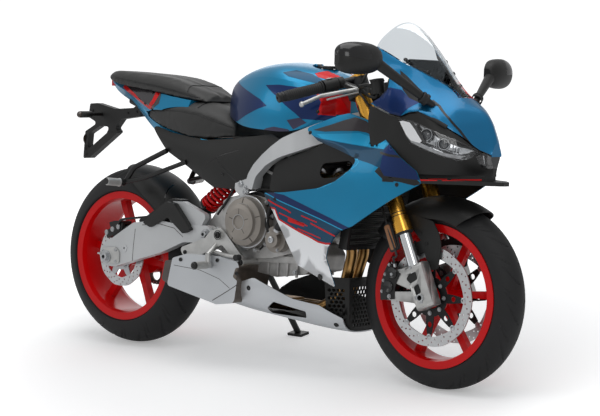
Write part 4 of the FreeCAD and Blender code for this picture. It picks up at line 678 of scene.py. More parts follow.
film("tank_navy_rear", "fuel_tank",
     [(-230, 985), (-140, 952), (-93, 938), (-37, 922), (26, 901), (62, 880), (20, 868), (-40, 846),
      (-97, 823), (-160, 812), (-230, 812)], navy_paint)
film("tank_navy_front", "fuel_tank",
     [(40, 948), (60, 935), (96, 914), (138, 885), (178, 860), (200, 842), (300, 838), (300, 930), (232, 938),
      (172, 945), (99, 951)], navy_paint)
film("tank_grey_patch_low", "fuel_tank", [(30, 795), (60, 806), (94, 812), (150, 806), (172, 790)],
     violet_grey_paint)
film("tank_grey_patch_high", "fuel_tank", [(148, 836), (196, 846), (216, 830), (170, 806)], violet_grey_paint,
     lift=0.6)
film("tank_top_spear", "fuel_tank",
     [(90, 992), (130, 1001), (190, 990), (250, 966), (236, 957), (180, 968), (120, 980)], deep_blue_paint,
     lift=0.6)
film("tank_red_top_patch", "fuel_tank",
     [(196, 992), (214, 1004), (244, 1000), (268, 985), (244, 974), (216, 980)], red_paint, lift=0.6)
film("tank_red_side_patch", "fuel_tank", [(262, 930), (300, 926), (300, 856), (250, 858)], red_paint,
     lift=0.6)
film("tank_red_front_patch", "fuel_tank", [(-130, 925), (-20, 928), (-20, 860), (-130, 860)], red_paint,
     "front", lift=0.6)

film("tail_dark_insert", "tail_fairing",
     [(-740, 960), (-500, 930), (-488, 868), (-520, 842), (-535, 847), (-595, 872), (-640, 893), (-715, 920)],
     dark_insert)
film("tail_red_edge", "tail_fairing", stripe([(-720, 924), (-640, 896), (-595, 875), (-533, 849)], 11),
     red_paint, lift=0.7)
film("tail_red_post", "tail_fairing",
     [(-522, 930), (-494, 928), (-512, 868), (-526, 848), (-540, 852), (-528, 880)], red_paint, lift=0.8)
film("tail_light_stripe", "tail_fairing",
     [(-690, 902), (-604, 858), (-544, 836), (-470, 818), (-340, 776), (-335, 768), (-440, 794), (-520, 812),
      (-600, 836), (-690, 884)], light_blue_paint)
film("cover_blue_end", "side_covers", [(-345, 785), (-262, 752), (-235, 752), (-345, 766)], light_blue_paint)


# Fixings, hoses and pressed plates.
# The small shared shapes that the sections below are made of, all in upright millimetres.
def side_frame(y, side):
    """The side view as a plane at a distance from the middle: its X is forward, its Y up, its Z outward."""
    return Matrix(((1, 0, 0, 0), (0, 0, side, y), (0, 1, 0, 0), (0, 0, 0, 1)))


CORNER_STEPS = 4


def rounded(points, radius):
    """A loop with its corners rounded off."""
    out = []
    for i, point in enumerate(points):
        here = Vector(point)
        before = Vector(points[i - 1]) - here
        after = Vector(points[(i + 1) % len(points)]) - here
        reach_back = min(radius, 0.45 * before.length)
        reach_on = min(radius, 0.45 * after.length)
        start, end = here + before.normalized() * reach_back, here + after.normalized() * reach_on
        for k in range(CORNER_STEPS + 1):
            t = k / CORNER_STEPS
            out.append(tuple(start * (1 - t) ** 2 + here * 2 * t * (1 - t) + end * t * t))
    return out


def smooth_path(points, step=6.0):
    """Points a few millimetres apart on a smooth curve through the given ones."""
    knots = [Vector(p) for p in points]
    path = []
    for i in range(len(knots) - 1):
        p0, p1, p2, p3 = knots[max(i - 1, 0)], knots[i], knots[i + 1], knots[min(i + 2, len(knots) - 1)]
        count = max(2, int((p2 - p1).length / step))
        for k in range(count):
            t = k / count
            path.append(0.5 * (2 * p1 + (p2 - p0) * t + (2 * p0 - 5 * p1 + 4 * p2 - p3) * t ** 2
                               + (3 * p1 - p0 - 3 * p2 + p3) * t ** 3))
    path.append(knots[-1])
    return path


def tube(bm, points, radius, sides=12, step=6.0):
    """A hose, cable or wire along a smooth curve through points."""
    path = smooth_path(points, step)
    normal = (path[1] - path[0]).orthogonal().normalized()
    rings = []
    for i, here in enumerate(path):
        along = (path[min(i + 1, len(path) - 1)] - path[max(i - 1, 0)]).normalized()
        normal = (normal - along * normal.dot(along)).normalized()
        other = along.cross(normal)
        rings.append([bm.verts.new(here + radius * (normal * math.cos(2 * math.pi * k / sides)
                                                    + other * math.sin(2 * math.pi * k / sides)))
                      for k in range(sides)])
    grid_faces(bm, rings)
    bm.faces.new(rings[0])
    bm.faces.new(rings[-1])


def ease(bm, width):
    """Takes the sharp edges off everything in a bmesh."""
    bmesh.ops.recalc_face_normals(bm, faces=bm.faces)
    sharp = [edge for edge in bm.edges if len(edge.link_faces) == 2 and edge.calc_face_angle() > 0.8]
    bmesh.ops.bevel(bm, geom=sharp, offset=width, segments=2, profile=0.6, affect="EDGES",
                    clamp_overlap=True)


def join_part(bm, part):
    """Adds a finished bmesh to another and frees it."""
    mesh = bpy.data.meshes.new("part")
    part.to_mesh(mesh)
    part.free()
    bm.from_mesh(mesh)
    bpy.data.meshes.remove(mesh)


def slab(bm, loops, y, side, thickness, edge=0.8):
    """A plate seen from the side, its loops as (x, z), eased at its edges."""
    part = bmesh.new()
    plate(part, loops, side_frame(y, side), thickness)
    ease(part, edge)
    join_part(bm, part)


def block(bm, centre, size, turn=None, edge=1.5):
    """A small housing: a box with eased edges."""
    part = bmesh.new()
    bmesh.ops.create_cube(part, size=1.0)
    part.transform(Matrix.Diagonal((*size, 1)))
    if edge:
        ease(part, edge)
    part.transform(Matrix.Translation(centre) @ (turn.to_4x4() if turn else Matrix.Identity(4)))
    join_part(bm, part)


skin_trees = {}


def on_skin(node, x, z, side):
    """Where the outside of a CAD node is at a point of the side view, and which way it faces there."""
    if node not in skin_trees:
        solid = closed_copy(node, 0.0)
        skin_trees[node] = BVHTree.FromBMesh(solid)
        solid.free()
    at, normal, _, _ = skin_trees[node].ray_cast(Vector((x, side * 600.0, z)), Vector((0, -side, 0)))
    return at, normal


def carved(name, node, cutter, material, body="chassis"):
    """The solid of a CAD node with pockets and holes cut into it, shown in that node's place."""
    solid = loose_object("solid_of_" + node, closed_copy(node, 0.0))
    bm = boolean_bmesh(solid, cutter, "DIFFERENCE")
    bpy.data.objects.remove(solid)
    piece = place(name, bm, material, body, 35.0)
    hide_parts(node)


# Fork.
# Black dust seals and locking rings on the gold tubes, capped tops with a hexagon adjuster, and cast feet
# with pockets and clamp bolts.
RAKE = math.radians(24.1)
TRAIL = 104.6
FOOT_X = HALF_BASE + TRAIL
LEG_U = FRONT_R * math.sin(RAKE) - TRAIL * math.cos(RAKE)
LEG_Y = 103
UP_FORK = Vector((-math.sin(RAKE), 0, math.cos(RAKE)))
OUT_FORK = Vector((math.cos(RAKE), 0, math.sin(RAKE)))


def leg(u, y, w):
    """A point of the steering frame: ahead of the steering axis, across, and up along it."""
    return Vector((FOOT_X, y, 0)) + OUT_FORK * u + UP_FORK * w


seals, rings, caps, bolts, pocket_shade, pockets = new_meshes(6)
POCKETS = ([(630, 370), (662, 382), (672, 358), (640, 338), (620, 352)],
           [(650, 330), (674, 346), (688, 318), (664, 302)])
for side in (-1, 1):
    out = (0, side, 0)
    lathe(seals, [(20.7, 0), (25, 0), (29, 2), (29.6, 4), (29.6, 7), (20.7, 7)],
          leg(LEG_U, side * LEG_Y, 528), UP_FORK)
    for w in (588, 598):
        lathe(rings, [(27.0, 0), (27.5, 0.5), (27.5, 2.2), (27.0, 2.7)], leg(LEG_U, side * LEG_Y, w), UP_FORK,
              40)
    lathe(caps, [(0, 0), (26, 0), (26, 2.5), (24.5, 4), (15, 4), (14, 2.6), (0, 2.6)],
          leg(LEG_U, side * LEG_Y, 1066), UP_FORK, 40)
    lathe(caps, [(0, 0), (9.5, 0), (9.5, 8), (8.5, 9), (0, 9)], leg(LEG_U, side * LEG_Y, 1068), UP_FORK, 6)
    for u, w in ((60, 748), (60, 764), (57, 1011)):
        bolt(bolts, leg(u, side * 84, w), OUT_FORK, 4.6, 5)
    side_bolts(bolts, side, 124, 4.4, 3.5, ((690, 288), (668, 300), (640, 392)))
    lathe(bolts, [(8.7, 0), (12.2, 0), (12.2, 2.6), (11.2, 3.4), (8.7, 3.4), (8.7, 0)],
          (HALF_BASE, side * 126, FRONT_R), out)
    # Each pocket gets a thin black sheet on its floor: painted shade in the recess.
    for loop in POCKETS:
        plate(pockets, [rounded(loop, 7)], side_frame(side * 115, side), 20)
        plate(pocket_shade, [rounded(loop, 7)], side_frame(side * 114.8, side), 0.5)
place("fork_dust_seals", seals, grip_rubber, "steering")
place("fork_locking_rings", rings, gloss_black, "steering")
place("fork_top_caps", caps, gold_anodised, "steering")
place("fork_bolts", bolts, bright_steel, "steering")
place("fork_foot_pocket_painted_shade", pocket_shade, black_coat, "steering")
carved("fork_feet_with_pockets", "fork_feet", pockets, cast_aluminium, "steering")

# Front brakes and hoses.
# Radial four-piston calipers, black with piston caps, a bleed nipple and bridge bolts; steel-braided hoses up
# the legs.
caps, bolts, hoses, fittings = new_meshes(4)
for side in (-1, 1):
    out = (0, side, 0)
    for degrees in (153, 172):
        lathe(caps, [(0, 0), (20, 0), (20, 2.4), (18.5, 4), (14, 4), (12.5, 2.8), (0, 2.8)],
              round_axle(FRONT_AXLE, 146, math.radians(degrees), side * 105.4), out, 32)
    for degrees in (148, 160, 167, 179):
        bolt(bolts, round_axle(FRONT_AXLE, 171, math.radians(degrees), side * 101.4), out, 4.0, 4.0)
    side_bolts(bolts, side, 105.4, 5.5, 5.5, ((556, 362), (548, 290)))
    lathe(fittings, [(0, 0), (5, 0), (5, 3), (3, 4), (3, 13), (0, 13)], (548, side * 92, 386),
          (-0.5, 0, 0.85), 12)
    lathe(fittings, [(0, 0), (6.5, 0), (6.5, 12), (0, 12)], (566, side * 104, 388), (0.1, side * 0.4, 0.9), 6)
    tube(hoses, [(566, side * 107, 396), (572, side * 124, 420), leg(-10, side * 128, 470),
                 leg(-12, side * 126, 560), leg(-16, side * 116, 650), leg(-22, side * 84, 706),
                 leg(-6, side * 34, 724)], 3.6, 10)
tube(hoses, [(428, -146, 934), (446, -130, 905), leg(52, -70, 880), leg(64, -40, 820), leg(60, -10, 785),
             leg(50, -4, 775)], 3.6, 10)
# Braided hose in black sleeving: a dull black with a fine, uneven grain.
hose_rubber = surface("brake_hose_braid", "1B1B1C", 0.5, grain=0.8, relief=0.06, drift=30.0, drift_by=0.2)
place("front_caliper_caps", caps, gloss_black, "steering")
place("front_caliper_bolts", bolts, bright_steel, "steering")
place("front_brake_fittings", fittings, bright_steel, "steering")
place("front_brake_hoses", hoses, hose_rubber, "steering")

# Front mudguard and side reflectors.
# Screws on the mudguard's wings and an amber-tan reflector in a black shoe on each stay.
screws, reflector, shoe = new_meshes(3)
REFLECTOR = [(533, 514), (552, 523), (585, 449), (566, 439)]
SHOE = [(528, 519), (556, 531), (594, 446), (563, 431)]
for side in (-1, 1):
    side_bolts(screws, side, 79, 5.0, 2.6, ((668, 468), (640, 500)))
    slab(shoe, [rounded(SHOE, 8)], side * 122, side, 5, 0.6)
    tube(shoe, [leg(-2, side * 118, 490), leg(6, side * 122, 500), leg(LEG_U - 14, side * 124, 545)], 4.0, 8)
    slab(reflector, [rounded(REFLECTOR, 7)], side * 127, side, 2.2, 0.5)
place("mudguard_screws", screws, black_coat, "steering")
place("reflector_shoes", shoe, grained_plastic, "steering")
# Amber plastic moulded with prisms: small cells that catch the light one by one.
reflector_amber = surface("amber_prism_reflector", "A5714A", 0.25, grain=2.2, relief=0.25, drift=60.0,
                          drift_by=0.04)
place("side_reflectors", reflector, reflector_amber, "steering")


# Headlamps.
# A clear polycarbonate lens over a chromed bowl: the CAD solid without its outer skin is the bowl. Films show
# the light guides and the dark gaps between them, and two projectors a side and chromed fins stand inside.
# Aluminium laid on a moulded bowl in a vacuum: a soft, slightly wavy mirror.
lamp_chrome = surface("vacuum_metallised_reflector", "B4B7BA", 0.16, metallic=1.0, grain=9.0, relief=0.1,
                      drift=18.0, drift_by=0.35)
# Satin bezel plastic: the dark gaps between the guides.
lamp_dark = surface("dark_lamp_bezel", "2A2A2B", 0.3, grain=2.0, relief=0.02, drift=60.0, drift_by=0.1)
# Milky and frosted plastic, unlit: an even white, and a grey with soft cells.
light_guide = surface("white_light_guide", "FAFBFC", 0.3, grain=3.0, relief=0.02, drift=60.0, drift_by=0.03)
strip_grey = surface("frosted_lower_light_guide", "9EA0A2", 0.32, grain=1.6, relief=0.12, drift=10.0,
                     drift_by=0.25)
# Clear polycarbonate: all but unseen, with only a faint reflection of the surround on it.
clear_plastic = surface("clear_polycarbonate", "FFFFFF", 0.03, metallic=1.0, grain=20.0, relief=0.002,
                        drift=200.0, drift_by=0.01, Alpha=0.04)
bowl = closed_copy("headlamps", 0.0)
lens_bm = closed_copy("headlamps", 1.3)
for solid, keep_skin in ((bowl, False), (lens_bm, True)):
    drop = []
    for face in solid.faces:
        if (outward(face.calc_center_median(), face.normal) > 0.12) != keep_skin:
            drop.append(face)
        face.material_index = 1 if abs(face.normal.y) < 0.03 and not keep_skin else 0
    bmesh.ops.delete(solid, geom=drop, context="FACES")
place("headlamp_bowls", bowl, [lamp_chrome, lamp_dark])
lens = place("headlamp_lenses", lens_bm, clear_plastic)
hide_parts("headlamps")
film("daytime_light_guides", "headlamps",
     [(621, 852), (632, 854), (657, 849), (698, 795), (690, 787), (662, 794), (645, 812)], light_guide,
     lift=0.6)
film("light_guide_gap", "headlamps", stripe([(655, 856), (676, 832), (706, 788)], 9), lamp_dark, lift=0.8)
film("lower_light_guides", "headlamps",
     [(644, 812), (664, 788), (693, 774), (721, 763), (747, 752), (771, 746), (790, 742), (810, 752),
      (771, 757), (747, 762), (721, 774), (693, 788), (664, 806)], strip_grey, lift=0.5)
film("upper_lamp_edge", "headlamps",
     stripe([(622, 860), (656, 858), (688, 847), (719, 833), (747, 820), (786, 803), (836, 778)], 7),
     lamp_dark, lift=0.9)
bezels, glasses, fins = new_meshes(3)
for side in (-1, 1):
    for x, z, r in ((706, 815, 17), (757, 786, 16)):
        at, normal = on_skin("headlamps", x, z, side)
        base = at - normal * 24
        lathe(bezels, [(r + 4, 0), (r + 4, 8), (r + 2, 14), (r, 14), (r - 1, 8), (r - 1, 0)], base, normal,
              32)
        lathe(glasses, [(r - 1, 6), (r * 0.8, 11), (r * 0.5, 14), (r * 0.2, 15.5), (0, 16)], base, normal, 32)
    for x in (684, 732, 738, 782, 790, 798):
        at, normal = on_skin("headlamps", x, 812 - (x - 684) * 0.45, side)
        block(fins, at - normal * 15, (1.6, 26, 20), axis_frame((0, 0, 0), normal).to_3x3(), 0.4)
# Thick lens glass before a dark housing: deep grey, with a sharp highlight.
projector_glass = surface("projector_glass", "30353A", 0.04, grain=20.0, relief=0.002, drift=100.0,
                          drift_by=0.02, Coat_Weight=1.0)
place("projector_bezels", bezels, lamp_chrome)
place("projector_glasses", glasses, projector_glass)
place("reflector_fins", fins, lamp_chrome)

# Mirrors.
# Gloss black upper shells over grained lower ones, silvered glass on the flat backs, and rubber boots at the
# feet.
# Silvered glass: a clean mirror.
mirror_glass = surface("silvered_mirror_glass", "DDE0E3", 0.03, metallic=1.0, grain=20.0, relief=0.002,
                       drift=100.0, drift_by=0.01)
MIRROR_OVAL = ((84, 14), (64, 36), (14, 47), (-40, 47), (-70, 38), (-84, 20))
glass, boots = new_meshes(2)
for side, centre, root in ((-1, (578, -342, 1043), (700, -118, 906)), (1, (606, 362, 1012), (690, 118, 912))):
    outer = [(-side * y, half * 0.93) for y, half in MIRROR_OVAL]
    loop = rounded([(y * 0.96, z) for y, z in outer] + [(y * 0.96, -z) for y, z in reversed(outer)], 10)
    place_glass = Matrix.Translation(centre) @ Matrix.Rotation(math.radians(14 * side), 4, "Z") @ Matrix(
        ((0, 0, -1, -16), (1, 0, 0, 0), (0, 1, 0, 0), (0, 0, 0, 1)))
    plate(glass, [loop], place_glass, 0.8)
    inner_end = Vector(centre) + Vector((14, -side * 58, -8))
    along = (inner_end - Vector(root)).normalized()
    base = Vector(root) + along * 24
    lathe(boots, [(16.5, 0), (19.5, 1), (19.5, 9), (17.5, 11), (17.5, 15), (19, 16), (19, 22), (16, 24)],
          base, along, 28)
place("mirror_glass", glass, mirror_glass)
place("mirror_boots", boots, grip_rubber)
film("right_mirror_shell", "mirrors",
     [(520, 1046), (560, 1050), (600, 1046), (640, 1034), (640, 1120), (520, 1120)], gloss_black, sides=(-1,),
     lift=0.3)
film("left_mirror_shell", "mirrors",
     [(548, 1014), (588, 1018), (628, 1014), (668, 1004), (668, 1090), (548, 1090)], gloss_black, sides=(1,),
     lift=0.3)

# Screen and nose fixings.
# Button-head screws with washers along the foot of the screen and on the nose and flank panels.
screws, washers = new_meshes(2)
for node, x, z, r in (("windscreen", 580, 1045, 5.5), ("windscreen", 640, 1008, 5.5),
                      ("windscreen", 700, 970, 5.5), ("nose_fairing", 655, 935, 5.0),
                      ("side_fairings", 314, 334, 8.0), ("side_fairings", 262, 800, 5.0),
                      ("side_fairings", 130, 575, 5.0), ("side_fairings", 640, 655, 5.0),
                      ("belly_pan", 1, 268, 6.5), ("belly_pan", -112, 206, 6.0), ("belly_pan", 340, 176, 6.5),
                      ("fuel_tank", 250, 868, 4.5), ("tail_fairing", -560, 866, 4.5),
                      ("side_covers", -150, 640, 5.0)):
    for side in (-1, 1):
        at, normal = on_skin(node, x, z, side)
        if at:
            lathe(washers, [(0, 0), (r * 1.35, 0), (r * 1.25, 0.9), (0, 0.9)], at, normal, 20)
            lathe(screws, [(0, 0.9), (r, 0.9), (r * 0.92, 2.2), (r * 0.6, 3.2), (r * 0.5, 3.2),
                           (r * 0.45, 1.6), (0, 1.6)], at, normal, 20)
place("panel_screws", screws, gloss_black)
place("panel_washers", washers, grip_rubber)
seal = bmesh.new()
for side in (-1, 1):
    tube(seal,
         [(636, side * 160, 892), (660, side * 157, 886), (698, side * 150, 872), (728, side * 138, 858),
          (762, side * 125, 840)], 6.5, 10)
place("nose_edge_seal", seal, grip_rubber)


# Engine covers.
# The round bronze-grey cover has a bright turned rim, a raised centre and five radial ribs; socket screws
# stand on bosses round it, and the crankcase halves, cylinder and head show their flanged joints.
# Painted shadow in the joints, along the creases and on the cover's ribs: a thin, flat brown-grey.
shade_line = surface("dark_joint_shadow", "3A3631", 0.6, grain=0.8, relief=0.03, drift=30.0, drift_by=0.15)
rim_ring, ribs, bosses, bolts, joints_bm = new_meshes(5)
CLUTCH_AXIS, ALTERNATOR_AXIS, PUMP_AXIS = (-30, 488), (-10, 470), (96, 438)
COVER_AT = Vector((CLUTCH_AXIS[0], -150, CLUTCH_AXIS[1]))
RIGHT, LEFT = (0, -1, 0), (0, 1, 0)
lathe(rim_ring, [(84, 0), (89.6, 0), (89.6, 1.4), (88.6, 2.4), (85, 2.4), (84, 1.4)], COVER_AT, RIGHT, 96)
lathe(rim_ring, [(60.6, 0), (62.4, 0), (62.4, 0.9), (60.6, 0.9)], COVER_AT + Vector((0, -27.8, 0)), RIGHT, 72)
lathe(rim_ring, [(24, 0), (25.6, 0), (25.6, 0.8), (24, 0.8)], COVER_AT + Vector((0, -44, 0)), RIGHT, 48)
for degrees in range(90, 450, 72):
    turn = math.radians(degrees)
    way = Vector((math.cos(turn), 0, math.sin(turn)))
    spin = Matrix.Rotation(-turn, 3, "Y")
    block(ribs, COVER_AT + way * 36 + Vector((0, -43.4, 0)), (18, 1.4, 2.4), spin, 0.3)
    tilt = Matrix.Rotation(math.atan2(6, 18), 3, "Z")
    block(ribs, COVER_AT + way * 71 + Vector((0, -25.2, 0)), (17, 1.4, 2.4), spin @ tilt, 0.3)
for degrees in [*range(15, 60, 30), *range(165, 360, 30)]:
    at = round_axle(CLUTCH_AXIS, 97, math.radians(degrees), -118)
    lathe(bosses, [(0, 0), (9, 0), (8, 16), (0, 16)], at, RIGHT, 20)
    bolt(bolts, at + Vector((0, -16, 0)), RIGHT, 5.0, 5)
for degrees in range(30, 390, 60):
    at = round_axle(ALTERNATOR_AXIS, 86, math.radians(degrees), 118)
    lathe(bosses, [(0, 0), (9, 0), (8, 14), (0, 14)], at, LEFT, 20)
    bolt(bolts, at + Vector((0, 14, 0)), LEFT, 5.0, 5)
for degrees in (50, 170, 290):
    bolt(bolts, round_axle(PUMP_AXIS, 37, math.radians(degrees), -150), RIGHT, 4.6, 5)
lathe(bolts, [(0, 0), (11, 0), (11, 5), (7, 6), (7, 3), (0, 3)], (PUMP_AXIS[0], -168, PUMP_AXIS[1]), RIGHT,
      24)
for side in (-1, 1):
    slab(joints_bm, [[(-252, 448), (-252, 456), (186, 456), (186, 448)]], side * 118, side, 3.5, 1.0)
    slab(joints_bm, [[(5, 662), (8, 671), (175, 617), (172, 608)]], side * 116, side, 3.5, 1.0)
    slab(joints_bm, [[(33, 738), (35, 747), (193, 693), (190, 684)]], side * 104, side, 13, 1.0)
    slab(joints_bm, [rounded([(-30, 374), (178, 384), (186, 362), (-24, 350)], 5)], side * 92, side, 12, 1.5)
    for x in (20, 62, 104, 146):
        slab(joints_bm, [rounded([(x, 312), (x + 7, 312), (x + 10, 360), (x - 3, 360)], 2)], side * 92, side,
             6, 1.0)
    side_bolts(bolts, side, 121.5, 4.5, 4.5, [(x, 452) for x in (-240, -190, 60, 120, 172)])
    side_bolts(bolts, side, 119.5, 4.5, 4.5, ((16, 666), (90, 641), (164, 617)))
    side_bolts(bolts, side, 117, 4.0, 4, ((50, 738), (110, 717), (170, 697)))
    side_bolts(bolts, side, 140, 9.0, 7, ((-72, 612),))
    side_bolts(bolts, side, 140, 6.0, 5, ((-40, 588),))
    side_bolts(bolts, side, 104, 7.0, 6, ((150, 330),))
# Above a slanted line the cylinder and head take flat black paint: partly the engine's own black, partly
# painted shade under the fairing.
repaint("engine_block", [fin_paint], lambda middle, way: 1 if middle.z > 560 + (middle.x + 60) * -0.16 else 0)
place("clutch_cover_rim", rim_ring, bright_steel)
# The ribs are drawn in the painted-shadow colour, as the dark lines they would cast.
place("clutch_cover_ribs", ribs, shade_line)
place("cover_screw_bosses", bosses, engine_cast)
place("engine_screws", bolts, bright_steel)
place("crankcase_joints_and_ribs", joints_bm, engine_cast)

# Coolant hoses and wiring.
# Black hoses with steel clamps from the water pump and the head to the radiator, and taped leads along the
# crankcase.
hoses, clamps, leads = new_meshes(3)
LOWER_HOSE = [(122, -170, 472), (146, -176, 496), (214, -170, 536), (300, -152, 566), (356, -132, 582),
              (384, -124, 590)]
UPPER_HOSE = [(112, 96, 700), (170, 132, 690), (250, 142, 640), (330, 136, 612), (386, 124, 612)]
BYPASS = [(70, -142, 452), (54, -146, 490), (60, -138, 540), (66, -118, 580)]
for path, radius in ((LOWER_HOSE, 13), (UPPER_HOSE, 13), (BYPASS, 8)):
    tube(hoses, path, radius, 16)
    line = smooth_path(path)
    for here, on in ((line[1], line[3]), (line[-2], line[-4])):
        way = (on - here).normalized()
        clamp = [(radius + 0.2, -5), (radius + 1.4, -5), (radius + 1.4, 5), (radius + 0.2, 5),
                 (radius + 0.2, -5)]
        lathe(clamps, clamp, here, way, 24)
        bolt(clamps, here + Vector((0, 0, radius + 1)), (0, 0, 1), 3.0, 4)
LEADS = (
    ([(-60, -126, 590), (-10, -128, 596), (40, -126, 600), (90, -124, 590)], 4.5),
    ([(-50, -124, 578), (0, -126, 588), (50, -122, 560), (60, -124, 500)], 3.2),
    ([(-190, -122, 500), (-140, -124, 560), (-110, -130, 600), (-96, -120, 640)], 4.0),
    ([(40, -122, 520), (44, -126, 470), (30, -124, 420), (-20, -112, 384), (-90, -106, 372)], 3.4),
    ([(-60, 126, 590), (0, 128, 596), (60, 126, 590)], 4.5),
    ([(-150, 134, 500), (-120, 138, 560), (-100, 132, 610)], 4.0))
for path, radius in LEADS:
    tube(leads, path, radius, 10)
place("coolant_hoses", hoses, grip_rubber)
place("hose_clamps", clamps, bright_steel)
place("engine_leads", leads, grip_rubber)

# Radiator.
# The CAD core keeps its frame and broad bars. Between them stand thin aluminium leaves, with side tanks at
# the ends and fine louvres across the front; all of it leans with the core.
LEAN = math.radians(8)
core_turn = (Matrix.Translation((366, 0, 430)) @ Matrix.Rotation(LEAN, 4, "Y")
             @ Matrix.Translation((0, 0, -430)))
leaves, tanks, louvres = new_meshes(3)
for y in range(-130, 134, 4):
    for z in range(448, 616, 21):
        corners = ((31.6, y, z + 0.4), (31.6, y + 2, z + 12.6), (29.8, y + 2, z + 12.6), (29.8, y, z + 0.4))
        leaves.faces.new([leaves.verts.new(core_turn @ Vector(corner)) for corner in corners])
for side in (-1, 1):
    block(tanks, core_turn @ Vector((15, side * 139, 533)), (34, 16, 206), Matrix.Rotation(LEAN, 3, "Y"), 3)
for i in range(28):
    middle = core_turn @ Vector((33.5, 0, 442 + i * 6.6))
    block(louvres, middle, (3, 272, 1.4), Matrix.Rotation(math.radians(30), 3, "Y"), 0)
place("radiator_louvres", louvres, fin_paint)
place("radiator_leaves", leaves, engine_cast)
place("radiator_side_tanks", tanks, fin_paint)

# Exhaust.
# Flanges and nuts at the head, a sensor, a heat-tinted shield, the joint line of the silencer's wrap and its
# dark end.
flanges, sensor, screws = new_meshes(3)
for side in (-1, 1):
    lathe(flanges, [(19.5, 0), (33, 0), (33, 6), (31, 7), (19.5, 7)], (192, side * 49, 649), (0.99, 0, -0.1),
          28)
    for y in (-26, 26):
        lathe(flanges, [(0, 0), (6, 0), (6, 8), (5, 9), (0, 9)], (198, side * 49 + y, 649), (0.99, 0, -0.1),
              6)
lathe(sensor, [(0, 0), (10, 0), (10, 8), (7, 9), (7, 26), (4, 28), (4, 40), (0, 40)], (64, -86, 226),
      (0, -0.8, 0.6), 12)
place("exhaust_flanges", flanges, bright_steel)
place("exhaust_sensor", sensor, bright_steel)
# A cast cap and a shield browned by heat: satin, and a little uneven.
end_cap = surface("brown_grey_cast_end_cap", "5B5552", 0.42, metallic=0.6, grain=0.8, relief=0.04, drift=40.0,
                  drift_by=0.1)
shield_tint = surface("heat_tinted_shield", "6E665F", 0.36, metallic=0.85, grain=0.5, relief=0.01, drift=30.0,
                      drift_by=0.12)


def silencer_slot(middle, way):
    """The end cap behind its slanted joint, and on what faces forward the dark shield colour, as heat tint
    and as painted shade.
    """
    if middle.x < -330.6 - (342 - middle.z) * 0.229:
        return 1
    return 2 if way.x > 0.5 and middle.x > -70 else 0


repaint("silencer", [end_cap, shield_tint], silencer_slot)
film("silencer_joint", "silencer", stripe([(-137, 214), (-70, 252), (-15, 285)], 2.6), shade_line,
     sides=(-1,))
film("silencer_shield", "silencer", rounded([(-48, 302), (-36, 334), (30, 341), (30, 300), (-14, 282)], 6),
     shield_tint, sides=(-1,), lift=0.8)
# A painted shadow line along the crease of the silencer's wrap.
film("silencer_crease_painted_shadow", "silencer", stripe([(-322, 318), (-200, 312), (-110, 290), (-60, 262)], 1.8),
     shade_line, sides=(-1,), lift=0.3)
for x, z in ((-30, 315), (-290, 340), (-120, 352)):
    lathe(screws, [(0, 0), (7, 0), (7, 2.4), (5.6, 3.4), (3.5, 3.4), (3, 1.4), (0, 1.4)], (x, -192.6, z),
          (0, -1, 0), 20)
place("silencer_screws", screws, gloss_black)

# Belly guard.
# A honeycomb grille of black plastic: rows of hexagonal holes through the front and the two cheeks.
holes = bmesh.new()


def hexagon(x, y, radius):
    """The corners of a hexagon that stands on a point."""
    return [(x + radius * math.sin(math.pi * i / 3), y + radius * math.cos(math.pi * i / 3))
            for i in range(6)]


across_front = Matrix(((0, 0, 1, 340), (1, 0, 0, 0), (0, 1, 0, 0), (0, 0, 0, 1)))
for row in range(10):
    for column in range(-4, 5):
        y = column * 15.6 + (7.8 if row % 2 else 0)
        if abs(y) < 60:
            plate(holes, [hexagon(y, 172 + row * 13.6, 7.0)], across_front, 60)
for row in range(9):
    for column in range(4):
        x = 309 + column * 12.6 + (6.3 if row % 2 else 0)
        if x < 352:
            for side in (-1, 1):
                plate(holes, [hexagon(x, 184 + row * 13.0, 6.0)], side_frame(side * 140, -side), 60)
carved("belly_guard_honeycomb", "belly_guard", holes, grained_plastic)

# Footrests.
# Grooved alloy pegs with black ends on the cast hangers, their fixing bolts, and the rubbers of the pedals.
pegs, ends, bolts, rubbers = new_meshes(4)
for side in (-1, 1):
    start = Vector((-152.4, side * 210, 334))
    along = Vector((-6, side * 75, 0)).normalized()
    profile = [(11, 0)]
    for i in range(11):
        profile += [(13.2, 1 + i * 4.6), (13.2, 3.4 + i * 4.6), (11.6, 4.0 + i * 4.6), (11.6, 5.2 + i * 4.6)]
    lathe(pegs, profile + [(11, 53)], start, along, 28)
    lathe(ends, [(0, 10), (9, 10), (12.6, 8), (13.4, 4), (13.4, 0), (0, 0)][::-1], start + along * 53, along,
          28)
    side_bolts(bolts, side, 182, 9.0, 6, ((-132, 436),))
    side_bolts(bolts, side, 180, 7.5, 6, ((-26, 352),))
    side_bolts(bolts, side, 172, 6.0, 5, ((-290, 364),))
    lathe(bolts, band(14.4, 16.4, 1.2), (-132, side * 182, 436), (0, side, 0), 32)
    lathe(rubbers, [(8.1, 0), (10.5, 0.5), (10.5, 20), (9, 22), (0, 22)], (-4, side * 212, 372), (0, side, 0),
          20)
place("footrest_pegs", pegs, cast_aluminium)
place("footrest_ends", ends, grip_rubber)
place("footrest_bolts", bolts, black_coat)
place("pedal_rubbers", rubbers, grip_rubber)


